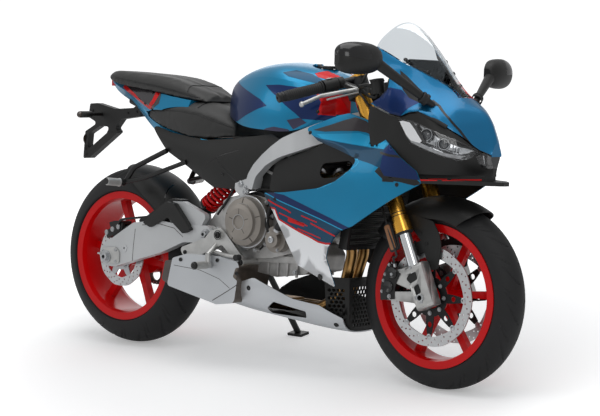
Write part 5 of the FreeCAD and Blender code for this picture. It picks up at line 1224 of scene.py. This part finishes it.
# Drive chain.
# A roller chain with pitch 15.9 mm: waisted side plates, inner and outer in turn, on pins and rollers that
# follow the pitch line round both sprockets. It stands in for the plain CAD band.
REAR_SPROCKET, ENGINE_SPROCKET = Vector((-HALF_BASE, 0, REAR_R)), Vector((-150, 0, 440))
CHAIN_PITCH = 15.875
PITCH_R, PINION_R = 108.0, 43.0
reach = ENGINE_SPROCKET - REAR_SPROCKET
heading = math.atan2(reach.z, reach.x)
spread = math.acos((PITCH_R - PINION_R) / reach.length)
turns = [(PITCH_R, REAR_SPROCKET, heading + spread + k * (2 * math.pi - 2 * spread) / 400)
         for k in range(401)]
turns += [(PINION_R, ENGINE_SPROCKET, heading - spread + k * 2 * spread / 160) for k in range(161)]
line = [middle + Vector((math.cos(turn), 0, math.sin(turn))) * radius for radius, middle, turn in turns]
line.append(line[0])
length = sum((b - a).length for a, b in zip(line, line[1:]))
link_count = 2 * round(length / CHAIN_PITCH / 2)
pins, walked, here = [], 0.0, 0
for k in range(link_count):
    goal = k * length / link_count
    while walked + (line[here + 1] - line[here]).length < goal:
        walked += (line[here + 1] - line[here]).length
        here += 1
    step_on = line[here + 1] - line[here]
    pins.append(line[here] + step_on * ((goal - walked) / step_on.length))
plates, rollers = new_meshes(2)
for k, pin in enumerate(pins):
    other = pins[(k + 1) % link_count]
    along = (other - pin).normalized()
    over = along.cross(Vector((0, 1, 0)))
    loop = []
    for middle, start in ((other, -1), (pin, 1)):
        for i in range(7):
            turn = math.radians(-75 + 25 * i)
            loop.append(middle + (along * math.cos(turn) + over * math.sin(turn)) * 6.6 * -start)
        loop.append((pin + other) / 2 + over * 4.9 * -start)
    inner = 98.2 if k % 2 else 96.4
    for y0 in (inner, 204.4 - inner):
        sides = [[plates.verts.new(p + Vector((0, y, 0))) for p in loop] for y in (y0, y0 + 1.6)]
        grid_faces(plates, sides)
        plates.faces.new(sides[0])
        plates.faces.new(sides[1])
    lathe(rollers, [(0, 0), (2.6, 0), (2.6, 4.4), (4.4, 4.4), (4.4, 11.0), (2.6, 11.0), (2.6, 15.4),
                    (0, 15.4)], pin + Vector((0, 95.4, 0)), (0, 1, 0), 10)
chain_piece = place("chain_link_plates", plates, chain_steel)
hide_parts("chain")
place("chain_rollers_and_pins", rollers, bright_steel)
nuts = bmesh.new()
for degrees in range(56, 416, 72):
    bolt(nuts, round_axle(REAR_AXLE, 52, math.radians(degrees), 106), (0, 1, 0), 8.0, 7)
place("sprocket_nuts", nuts, bright_steel, "rear_wheel")

# Swingarm and rear brake.
# A machined end block with the axle adjuster on each side, painted shadow lines in the pressed crease and
# along the top of the arm, the caliper with its pins and hose, the axle and pivot nuts, and the plastic guard
# on the arm's right side.
blocks, nuts, hose, caliper, caliper_bolts, side_guard = new_meshes(6)
for side, face in ((-1, 156), (1, 160)):
    slab(blocks, [rounded([(-712, 345), (-640, 352), (-622, 336), (-622, 296), (-672, 292), (-712, 306)], 8)],
         side * face, side, 4, 1.2)
    lathe(nuts, [(7.5, 0), (17, 0), (17, 2), (15, 2), (15, 11), (13.5, 12.5), (7.5, 12.5)],
          (-685, side * (face + 8), 315), (0, side, 0), 6)
    lathe(nuts, [(0, 0), (4, 0), (4, 26), (0, 26)], (-716, side * (face - 10), 322), (-1, 0, 0), 12)
    lathe(nuts, [(4, 6), (8, 6), (8, 12), (4, 12)], (-716, side * (face - 10), 322), (-1, 0, 0), 6)
    lathe(nuts, [(6.5, 0), (16, 0), (16, 2), (13, 2), (13, 9), (11.5, 10.5), (6.5, 10.5)],
          (-225, side * 146, 430), (0, side, 0), 6)
    side_bolts(nuts, side, face + 4, 4.5, 3.5, ((-702, 336), (-640, 342), (-640, 302)))
place("swingarm_end_blocks", blocks, cast_aluminium)
place("axle_and_pivot_nuts", nuts, bright_steel)
film("swingarm_crease_painted_shadow", "swingarm", stripe([(-551, 424), (-558, 360), (-561, 306)], 2.2), shade_line,
     sides=(-1,), lift=0.3)
film("swingarm_upper_shadow_line", "swingarm", stripe([(-520, 440), (-440, 450), (-372, 440), (-330, 412)], 2.2),
     shade_line, sides=(-1,), lift=0.3)
block(caliper, Vector((-712, -90, 402)), (74, 34, 30), Matrix.Rotation(math.radians(-24), 3, "Y"), 5)
side_bolts(caliper_bolts, -1, 106.5, 7.0, 4, ((-713, 409), (-742, 396), (-684, 420)))
tube(hose, [(-690, -98, 422), (-660, -118, 446), (-590, -126, 458), (-500, -124, 470), (-420, -118, 474),
            (-330, -112, 480), (-262, -106, 520)], 4.2, 12)
place("rear_caliper_body", caliper, black_coat)
place("rear_caliper_pins", caliper_bolts, bright_steel)
place("rear_brake_hose", hose, grip_rubber)
slab(side_guard,
     [rounded([(-512, 449), (-453, 493), (-401, 531), (-364, 526), (-283, 441), (-318, 425), (-392, 476),
               (-475, 435)], 6)], -136, -1, 22, 2.0)
place("swingarm_side_guard", side_guard, grained_plastic)
# A gloss black line in the hugger wing's crease is painted shade.
film("hugger_wing_crease_painted_shade", "rear_hugger", stripe([(-505, 612), (-486, 560), (-477, 524)], 2.4), gloss_black,
     sides=(-1,), lift=0.4)

# Shock absorber.
# One steel wire coiled round the damper between two seats, and a brass-coloured adjuster collar at its head.
SHOCK_FOOT, SHOCK_HEAD = Vector((-318, -60, 500)), Vector((-100, -60, 676))
shock_way = (SHOCK_HEAD - SHOCK_FOOT).normalized()
spring_solid = closed_copy("shock_spring", 0.0)
stations = [(v.co - SHOCK_FOOT).dot(shock_way) for v in spring_solid.verts]
coil_r = max((v.co - SHOCK_FOOT - shock_way * s).length for v, s in zip(spring_solid.verts, stations))
spring_solid.free()
low, high = min(stations) + 6, max(stations) - 6
WIRE_R = 6.0
coil_turns = (high - low) / 19.0
side_way = shock_way.orthogonal().normalized()
other_way = shock_way.cross(side_way)
coil_path = []
for k in range(int(coil_turns * 20) + 1):
    turn = 2 * math.pi * k / 20
    at = SHOCK_FOOT + shock_way * (low + (high - low) * k / (coil_turns * 20))
    coil_path.append(at + (side_way * math.cos(turn) + other_way * math.sin(turn)) * (coil_r - WIRE_R))
coil, collar = new_meshes(2)
tube(coil, coil_path, WIRE_R, 12, 12.0)
for s, height in ((low - 6, 5.0), (high + 1, 5.0)):
    lathe(coil, band(17, coil_r, height), SHOCK_FOOT + shock_way * s, shock_way, 32)
collar_at = SHOCK_FOOT + shock_way * (high + 7)
lathe(collar, [(16, 0), (27, 0), (27, 12), (24, 14), (24, 20), (16, 20), (16, 0)], collar_at, shock_way, 32)
spring_piece = place("shock_spring_coil", coil, red_paint)
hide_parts("shock_spring")
place("shock_collar", collar, gold_anodised)

# Passenger footrests, plate bracket and lamps.
# Grooved alloy sleeves on the folding pegs, smoked lenses on the indicators, screws through the bracket, and
# the bracket's foot trimmed to its own width.
sleeves, lenses, screws, bar_cut = new_meshes(4)
for side in (-1, 1):
    start = Vector((-602.6, side * 188, 585.5))
    along = (Vector((-610, side * 246, 590)) - Vector((-600, side * 168, 584))).normalized()
    profile = [(10.5, 0), (15, 0), (15, 3)]
    for i in range(8):
        profile += [(13.6, 4 + i * 6.6), (13.6, 8.0 + i * 6.6), (12.2, 8.8 + i * 6.6), (12.2, 10.2 + i * 6.6)]
    lathe(sleeves, profile + [(10.5, 57)], start, along, 24)
    bolt(screws, (-594, side * 176, 590), (0, side, 0), 7.0, 5)
    lathe(lenses, [(0, 0), (11.6, 0), (11.6, 3), (9, 7), (0, 9)], (-880, side * 124, 814), (0, side, 0), 24)
    side_bolts(screws, side, 14, 4.0, 3, ((-700, 832), (-745, 826), (-928, 828), (-955, 664)))
lathe(lenses, [(0, 0), (22, 0), (22, 3), (19, 5), (0, 5)], (-963, 0, 722), (-1, 0, 0), 28)
for side in (-1, 1):
    block(bar_cut, Vector((-960, side * 66, 690)), (30, 96, 44), None, 0.5)
carved("plate_bracket_trimmed", "plate_bracket", bar_cut, grained_plastic)
place("passenger_peg_sleeves", sleeves, cast_aluminium)
# Smoked amber plastic, unlit: nearly black, with a faint pattern under its face.
smoked = surface("smoked_amber_lens", "3A2C22", 0.16, grain=2.5, relief=0.15, drift=40.0, drift_by=0.1,
                 Coat_Weight=0.6)
place("indicator_and_reflector_lenses", lenses, smoked)
place("bracket_screws", screws, black_coat)

# Frame fixings and side cover seams.
# Engine mounting bolts on the beams, rubber sheets that close the gap between beam and tank, the parting
# lines of the side covers, and the red line on the lip of the nose.
bolts, tank_sheets = new_meshes(2)
for side in (-1, 1):
    for x, z, r in ((-53, 586, 8), (-36, 604, 5), (12, 637, 5), (238, 690, 6)):
        at, normal = on_skin("main_frame", x, z, side)
        if at:
            bolt(bolts, at, (0, side, 0), r, 5)
place("frame_bolts", bolts, bright_steel)
for side in (-1, 1):
    block(tank_sheets, (80, side * 104, 789), (172, 6, 46), None, 2.0)
place("tank_edge_rubber_sheets", tank_sheets, grip_rubber)
film("side_cover_seam", "side_covers", stripe([(-230, 668), (-185, 693), (-140, 709), (-73, 726)], 3.5),
     gloss_black, lift=0.3)
film("side_cover_lower_seam", "side_covers", stripe([(-182, 696), (-150, 664), (-67, 599)], 4.5), gloss_black,
     lift=0.3)
film("lip_red_line", "chin_spoiler", stripe([(694, 673), (745, 675)], 6), red_paint, lift=0.5)
film("lip_red_line_end", "chin_spoiler", stripe([(756, 675), (838, 679)], 5), red_paint, lift=0.5)


# Bars and levers.
# Ribbed rubber grips with grooved end weights, aluminium levers with their adjusters, switch buttons, hoses
# and the fluid reservoir's ribbed cap; all of it turns with the steering.
ribs, ends, buttons, red_buttons, cap, hoses, blades = new_meshes(7)
LEVER = [Vector((424, 150, 946)), Vector((402, 195, 937)), Vector((369, 268, 921)), Vector((357, 346, 893))]


def on_lever(middle, _):
    """The levers' slot for what lies near their line, on either side."""
    middle = Vector((middle.x, abs(middle.y), middle.z))
    for a, b in zip(LEVER, LEVER[1:]):
        t = max(0.0, min(1.0, (middle - a).dot(b - a) / (b - a).length_squared))
        if (middle - a.lerp(b, t)).length < 12.5:
            return 1
    return 0


repaint("bar_controls", [cast_aluminium], on_lever)
for side in (-1, 1):
    start, end = Vector((388, side * 128, 976)), Vector((281, side * 362, 912))
    along = (end - start).normalized()
    back = Vector((-1, 0, 0)) + along * along.x
    back.normalize()
    over = back.cross(along) * -side
    turn = Matrix((back, along, over)).transposed()
    for i in range(17):
        lathe(ribs, [(16.9, 0), (17.9, 0.8), (17.9, 3.4), (16.9, 4.2), (16.9, 0)],
              start + along * (126 + i * 7), along, 28)
    lathe(ribs, [(16.9, 0), (21, 0), (21, 4), (16.9, 5), (16.9, 0)], start + along * 117, along, 28)
    lathe(ends, [(14.8, 0), (16.2, 1), (16.2, 8), (14.8, 9), (14.8, 13), (16.2, 14), (16, 20), (12, 22.5),
                 (5, 22.5), (4.5, 19), (0, 19)], start + along * 253, along, 32)
    for s, width in ((72, 7), (84, 10), (98, 8)):
        block(buttons if s != 84 or side > 0 else red_buttons, start + along * s + back * 22.5, (5, width, 9),
              turn, 1.2)
    block(buttons, start + along * 88 + over * 21.5, (16, 18, 4), turn, 1.2)
    tube(blades, [(380, side * 250, 910), (404, side * 192, 925), (426, side * 150, 936)], 3.4, 10)
    tube(hoses,
         [(398, side * 118, 962), (404, side * 122, 925), (414, side * 124, 885), (430, side * 122, 840)],
         5.5, 12)
    lathe(ends, [(0, 0), (6.5, 0), (6.5, 3), (3.6, 3.4), (3.2, 1.6), (0, 1.6)],
          Vector((424, side * 150, 957)), (0, 0, 1), 16)
    tube(hoses,
         [(414, side * 132, 950), (430, side * 120, 990), (424, side * 104, 1010), (400, side * 92, 1000),
          (392, side * 84, 960), (404, side * 80, 915)], 4.2, 12)
tilt = Matrix.Rotation(math.radians(-12), 3, "Y") @ Vector((0, 0, 1))
reservoir = Vector((492, -132, 945))
profile = [(0, 0), (23.2, 0), (23.2, 5), (21.5, 6.5), (12, 6.5), (12, 5.2), (0, 5.2)]
lathe(cap, profile, reservoir + tilt * 29.6, tilt, 32)
for turn in turns_round(16):
    block(cap, reservoir + tilt * 32 + Vector((math.cos(turn), math.sin(turn), 0)) * 23.2, (2.4, 2.4, 4.6),
          None, 0.6)
tube(hoses, [(490, -132, 934), (478, -128, 922), (452, -128, 926), (428, -134, 944)], 5.0, 12)
place("grip_ribs", ribs, grip_rubber, "steering")
place("lever_adjusters", blades, cast_aluminium, "steering")
place("bar_ends", ends, black_coat, "steering")
place("switch_buttons", buttons, gloss_black, "steering")
place("red_switch", red_buttons, red_paint, "steering")
place("reservoir_cap", cap, grip_rubber, "steering")
place("bar_hoses", hoses, grip_rubber, "steering")

# Top yoke and instruments.
# The stem nut, clamp screws and ignition lock on the yoke, and the display's glass in its bezel.
nuts, lock, glass, bezel = new_meshes(4)
stem_way = (leg(0, 0, 1100) - leg(0, 0, 1000)).normalized()
lathe(nuts, [(9, 0), (19, 0), (19, 9), (17, 10.5), (11, 10.5), (9, 6)], leg(0, 0, 1031), stem_way, 6)
lathe(nuts, [(19, 0), (23.5, 0), (23.5, 1.6), (19, 1.6)], leg(0, 0, 1031), stem_way, 40)
lathe(lock, [(0, 0), (14, 0), (14, 2.4), (12, 3.4), (6, 3.4), (6, 2.4), (0, 2.4)], leg(52, 0, 1034), stem_way,
      32)
block(lock, leg(52, 0, 1037.6), (2.2, 9, 1.2), None, 0.3)
for side in (-1, 1):
    for y in (96, 112):
        bolt(nuts, leg(34, side * y, 1022), stem_way, 4.5, 4)
place("stem_nut_and_clamp_screws", nuts, bright_steel, "steering")
place("ignition_lock", lock, bright_steel, "steering")
dash_turn = Matrix.Rotation(math.radians(-32), 3, "Y")
dash_at = Vector((598, 0, 1000))
block(bezel, dash_at + dash_turn @ Vector((-9.5, 0, 0)), (3, 172, 104), dash_turn, 1.2)
block(glass, dash_at + dash_turn @ Vector((-11.4, 0, 2)), (1.6, 150, 84), dash_turn, 0.6)
# Glass over a display that is off: black, with a sharp highlight.
display_glass = surface("dark_display_glass", "0A0C0E", 0.05, grain=30.0, relief=0.002, drift=100.0,
                        drift_by=0.02, Coat_Weight=1.0)
place("display_bezel", bezel, grained_plastic)
place("display_glass", glass, display_glass)

# Fuel filler.
# A ring of socket screws round the recess, and the lock flap on the lid that lifts with it.
screws, flap = new_meshes(2)
FILLER = (176, 0)
for i in range(7):
    turn = math.radians(25.7 + 360 * i / 7)
    bolt(screws, (FILLER[0] + 46 * math.cos(turn), FILLER[1] + 46 * math.sin(turn), 1006), (0, 0, 1), 3.6, 3)
block(flap, Vector((170, 0, 1017.6)), (26, 12, 2.4), None, 0.8)
lathe(flap, band(31, 35.5, 1.2), (*FILLER, 1017), (0, 0, 1), 48)
place("filler_screws", screws, bright_steel)
place("filler_lock_flap", flap, bright_steel, "fuel_cap")


# Seats.
# Moulded foam under stretched vinyl. Each CAD solid is drawn in a little and remeshed, a short cloth
# simulation swells its upper skin, and no point moves over 5 mm. Seams are grooves pressed in afterwards,
# each with a sewn welt.
# Embossed vinyl: matt, nearly black, with a leathery grain; its welts are finer and smoother.
seat_vinyl = surface("black_seat_vinyl", "2B2B2A", 0.56, grain=1.2, relief=0.1, drift=120.0, drift_by=0.08)
welt_thread = surface("welt_vinyl", "1A1A1A", 0.5, grain=0.8, relief=0.05, drift=60.0, drift_by=0.05)
CUSHION_VOXEL = 0.007
SWELL = 0.005
FOAM_FRAMES = 20
SEAM_REACH, SEAM_DEPTH = 9, 0.0022


def swollen(piece):
    """Lets a short cloth simulation swell a remeshed solid, keeping the moves small, and rounds it."""
    mesh = piece.data
    rest = [(v.co.copy(), v.normal.copy()) for v in mesh.vertices]
    cloth = piece.modifiers.new("foam", "CLOTH")
    cloth.settings.use_pressure = True
    cloth.settings.uniform_pressure_force = 4.0
    cloth.settings.effector_weights.gravity = 0.0
    cloth.point_cache.frame_start = 1
    cloth.point_cache.frame_end = FOAM_FRAMES
    for step in range(1, FOAM_FRAMES + 1):
        scene.frame_set(step)
    mesh = applied(piece)
    scene.frame_set(1)
    for vertex, (at, normal) in zip(mesh.vertices, rest):
        move = vertex.co - at
        if normal.z < -0.3:
            vertex.co = at
        elif move.length > SWELL:
            vertex.co = at + move.normalized() * SWELL
    smooth = piece.modifiers.new("round", "SUBSURF")
    smooth.levels = 1
    return applied(piece)


def sewn(mesh, seams):
    """Presses the grooves of the seams into a mesh and returns their welts."""
    bm = bmesh.new()
    bm.from_mesh(mesh)
    tree = BVHTree.FromBMesh(bm)
    bm.free()
    welts = bmesh.new()
    marks = []
    for points, view in seams:
        run = []
        for here, on in zip(points, points[1:]):
            count = max(2, int((Vector(on) - Vector(here)).length / 8))
            run += [Vector(here).lerp(Vector(on), k / count) for k in range(count)]
        run.append(Vector(points[-1]))
        for side in ((-1, 1) if view == "side" else (1,)):
            hits = []
            for a, b in run:
                start, way = ((a, side * 300, b), (0, -side, 0)) if view == "side" else ((a, b, 1400),
                                                                                         (0, 0, -1))
                at, normal, _, _ = tree.ray_cast(Vector(start) / 1000, Vector(way))
                if at:
                    hits.append(at * 1000)
            marks += hits
            if len(hits) > 2:
                tube(welts, hits, 1.3, 8, 8.0)
    finder = KDTree(len(marks))
    for i, mark in enumerate(marks):
        finder.insert(mark, i)
    finder.balance()
    for vertex in mesh.vertices:
        _, _, distance = finder.find(vertex.co * 1000)
        if distance < SEAM_REACH:
            vertex.co -= vertex.normal * SEAM_DEPTH * (1 - distance / SEAM_REACH) ** 2
    return welts


def cushion(name, node, seams):
    """A padded seat in the space of a CAD solid. Each seam is a run of points and the view it is seen in."""
    piece = loose_object(name, closed_copy(node, -3.0))
    piece.data.transform(Matrix.Scale(0.001, 4))
    remesh = piece.modifiers.new("remesh", "REMESH")
    remesh.mode = "VOXEL"
    remesh.voxel_size = CUSHION_VOXEL
    applied(piece)
    mesh = swollen(piece)
    welts = sewn(mesh, seams)
    mesh.materials.clear()
    mesh.materials.append(seat_vinyl)
    mesh.transform(UPRIGHT)
    mesh.shade_smooth()
    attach(piece, "chassis")
    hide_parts(node)
    place(name + "_welts", welts, welt_thread)


cushion("rider_seat_cushion", "rider_seat",
        [([(-548, 846), (-480, 846), (-380, 847), (-290, 838), (-210, 815), (-150, 796)], "side"),
         ([(-300, -120), (-300, 120)], "top")])
cushion("pillion_seat_cushion", "pillion_seat",
        [([(-812, 960), (-740, 950), (-640, 940), (-520, 928), (-420, 912), (-320, 894)], "side"),
         ([(-372, -100), (-384, -60), (-388, 0), (-384, 60), (-372, 100)], "top")])


# Windscreen.
# A clear, faintly grey acrylic shell: nearly all transmission, so that the white surround shows through it.
screen_acrylic = surface("clear_grey_acrylic", "C8CDD0", 0.03, grain=40.0, relief=0.02, drift=200.0,
                         drift_by=0.02, Transmission_Weight=1.0, IOR=1.08)
nodes["windscreen"].data.materials[0] = screen_acrylic
# The helper skins are no longer needed.
for helper in skins.values():
    bpy.data.objects.remove(helper)


# Studio.
# A pale floor and a white surround, one broad soft lamp overhead, one from the right front and two from
# behind. The camera stands where the photograph's stood, so it is given in the upright frame and leans with
# the machine.
CAMERA_AT = Vector((4.4363, -5.1882, 0.9819))
CAMERA_YAW = 0.69916
CAMERA_PITCH = 0.06553
CAMERA_ROLL = 0.03606
CAMERA_LENS = 120.67
REFLECTED = 0.4
forward = Vector((-math.sin(CAMERA_YAW) * math.cos(CAMERA_PITCH),
                  math.cos(CAMERA_YAW) * math.cos(CAMERA_PITCH), -math.sin(CAMERA_PITCH)))
right = forward.cross(Vector((0, 0, 1))).normalized()
top = right.cross(forward)
rolled_right = right * math.cos(CAMERA_ROLL) + top * math.sin(CAMERA_ROLL)
rolled_top = top * math.cos(CAMERA_ROLL) - right * math.sin(CAMERA_ROLL)
camera_turn = Matrix((rolled_right, rolled_top, -forward)).transposed().to_4x4()
camera_data = bpy.data.cameras.new("camera")
camera_data.lens = CAMERA_LENS
camera_data.clip_end = 100
camera = bpy.data.objects.new("camera", camera_data)
scene.collection.objects.link(camera)
camera.matrix_world = UPRIGHT @ Matrix.Translation(CAMERA_AT) @ camera_turn
scene.camera = camera


def seen_directly(material):
    """One for rays that show a surface straight or through glass, and less for a reflection."""
    path = add_node(material, "ShaderNodeLightPath")
    straight = add_node(material, "ShaderNodeMath", {"operation": "MAXIMUM"},
                        {0: path.outputs["Is Camera Ray"], 1: path.outputs["Is Transmission Ray"]})
    mirrored = add_node(material, "ShaderNodeMath", {"operation": "MULTIPLY"},
                        {0: path.outputs["Is Glossy Ray"]})
    mirrored.inputs[1].default_value = REFLECTED
    return add_node(material, "ShaderNodeMath", {"operation": "MAXIMUM"},
                    {0: straight.outputs[0], 1: mirrored.outputs[0]}).outputs[0]


scene.view_settings.view_transform = "Standard"
world = bpy.data.worlds.new("white_surround")
scene.world = world
world.use_nodes = True
sky_colour = add_node(world, "ShaderNodeMix", {"data_type": "RGBA"}, {0: seen_directly(world)})
sky_colour.inputs[6].default_value = (0.28, 0.285, 0.295, 1.0)
sky_colour.inputs[7].default_value = (1.0, 1.0, 1.0, 1.0)
world.node_tree.links.new(sky_colour.outputs[2], world.node_tree.nodes["Background"].inputs["Color"])
world.node_tree.nodes["Background"].inputs["Strength"].default_value = 1.0


LAMP_AIM = Vector((0, 0, 0.5))


def lamp(name, at, size, energy):
    """A square soft lamp in the upright frame that faces the middle of the machine."""
    data = bpy.data.lights.new(name, "AREA")
    data.size = size
    data.energy = energy
    lamp_object = bpy.data.objects.new(name, data)
    scene.collection.objects.link(lamp_object)
    aim = (LAMP_AIM - Vector(at)).to_track_quat("-Z", "Y").to_matrix().to_4x4()
    lamp_object.matrix_world = UPRIGHT @ Matrix.Translation(at) @ aim


lamp("overhead", (0.2, -0.4, 3.4), 3.0, 56)
lamp("right_front", (3.2, -3.0, 2.2), 1.6, 22)
lamp("right_rear", (-2.6, -3.2, 1.8), 1.6, 12)
lamp("left_behind", (-2.5, 3.0, 2.2), 2.0, 12)

# The floor is white paper that takes the machine's shadow and grows paler away from it, into the surround.
FLOOR_HALF = 30.0
floor_mesh = bpy.data.meshes.new("floor")
floor_mesh.from_pydata([(-FLOOR_HALF, -FLOOR_HALF, 0), (FLOOR_HALF, -FLOOR_HALF, 0),
                        (FLOOR_HALF, FLOOR_HALF, 0), (-FLOOR_HALF, FLOOR_HALF, 0)], [], [(0, 1, 2, 3)])
floor = bpy.data.objects.new("floor", floor_mesh)
scene.collection.objects.link(floor)
floor_paper = surface("white_studio_paper", "F2F2F2", 0.9, grain=5.0, relief=0.02, drift=900.0,
                      drift_by=0.004)
floor_mesh.materials.append(floor_paper)
paper_place = add_node(floor_paper, "ShaderNodeTexCoord")
away = add_node(floor_paper, "ShaderNodeVectorMath", {"operation": "LENGTH"},
                {0: paper_place.outputs["Object"]})
paler = add_node(floor_paper, "ShaderNodeMapRange", {"interpolation_type": "SMOOTHSTEP"},
                 {"Value": away.outputs["Value"]}, From_Min=0.7, From_Max=1.9, To_Min=0.3, To_Max=0.8)
glow = add_node(floor_paper, "ShaderNodeMath", {"operation": "MULTIPLY"},
                {0: paler.outputs["Result"], 1: seen_directly(floor_paper)})
paper_shader = floor_paper.node_tree.nodes["Principled BSDF"]
paper_shader.inputs["Emission Color"].default_value = (1.0, 1.0, 1.0, 1.0)
floor_paper.node_tree.links.new(glow.outputs[0], paper_shader.inputs["Emission Strength"])
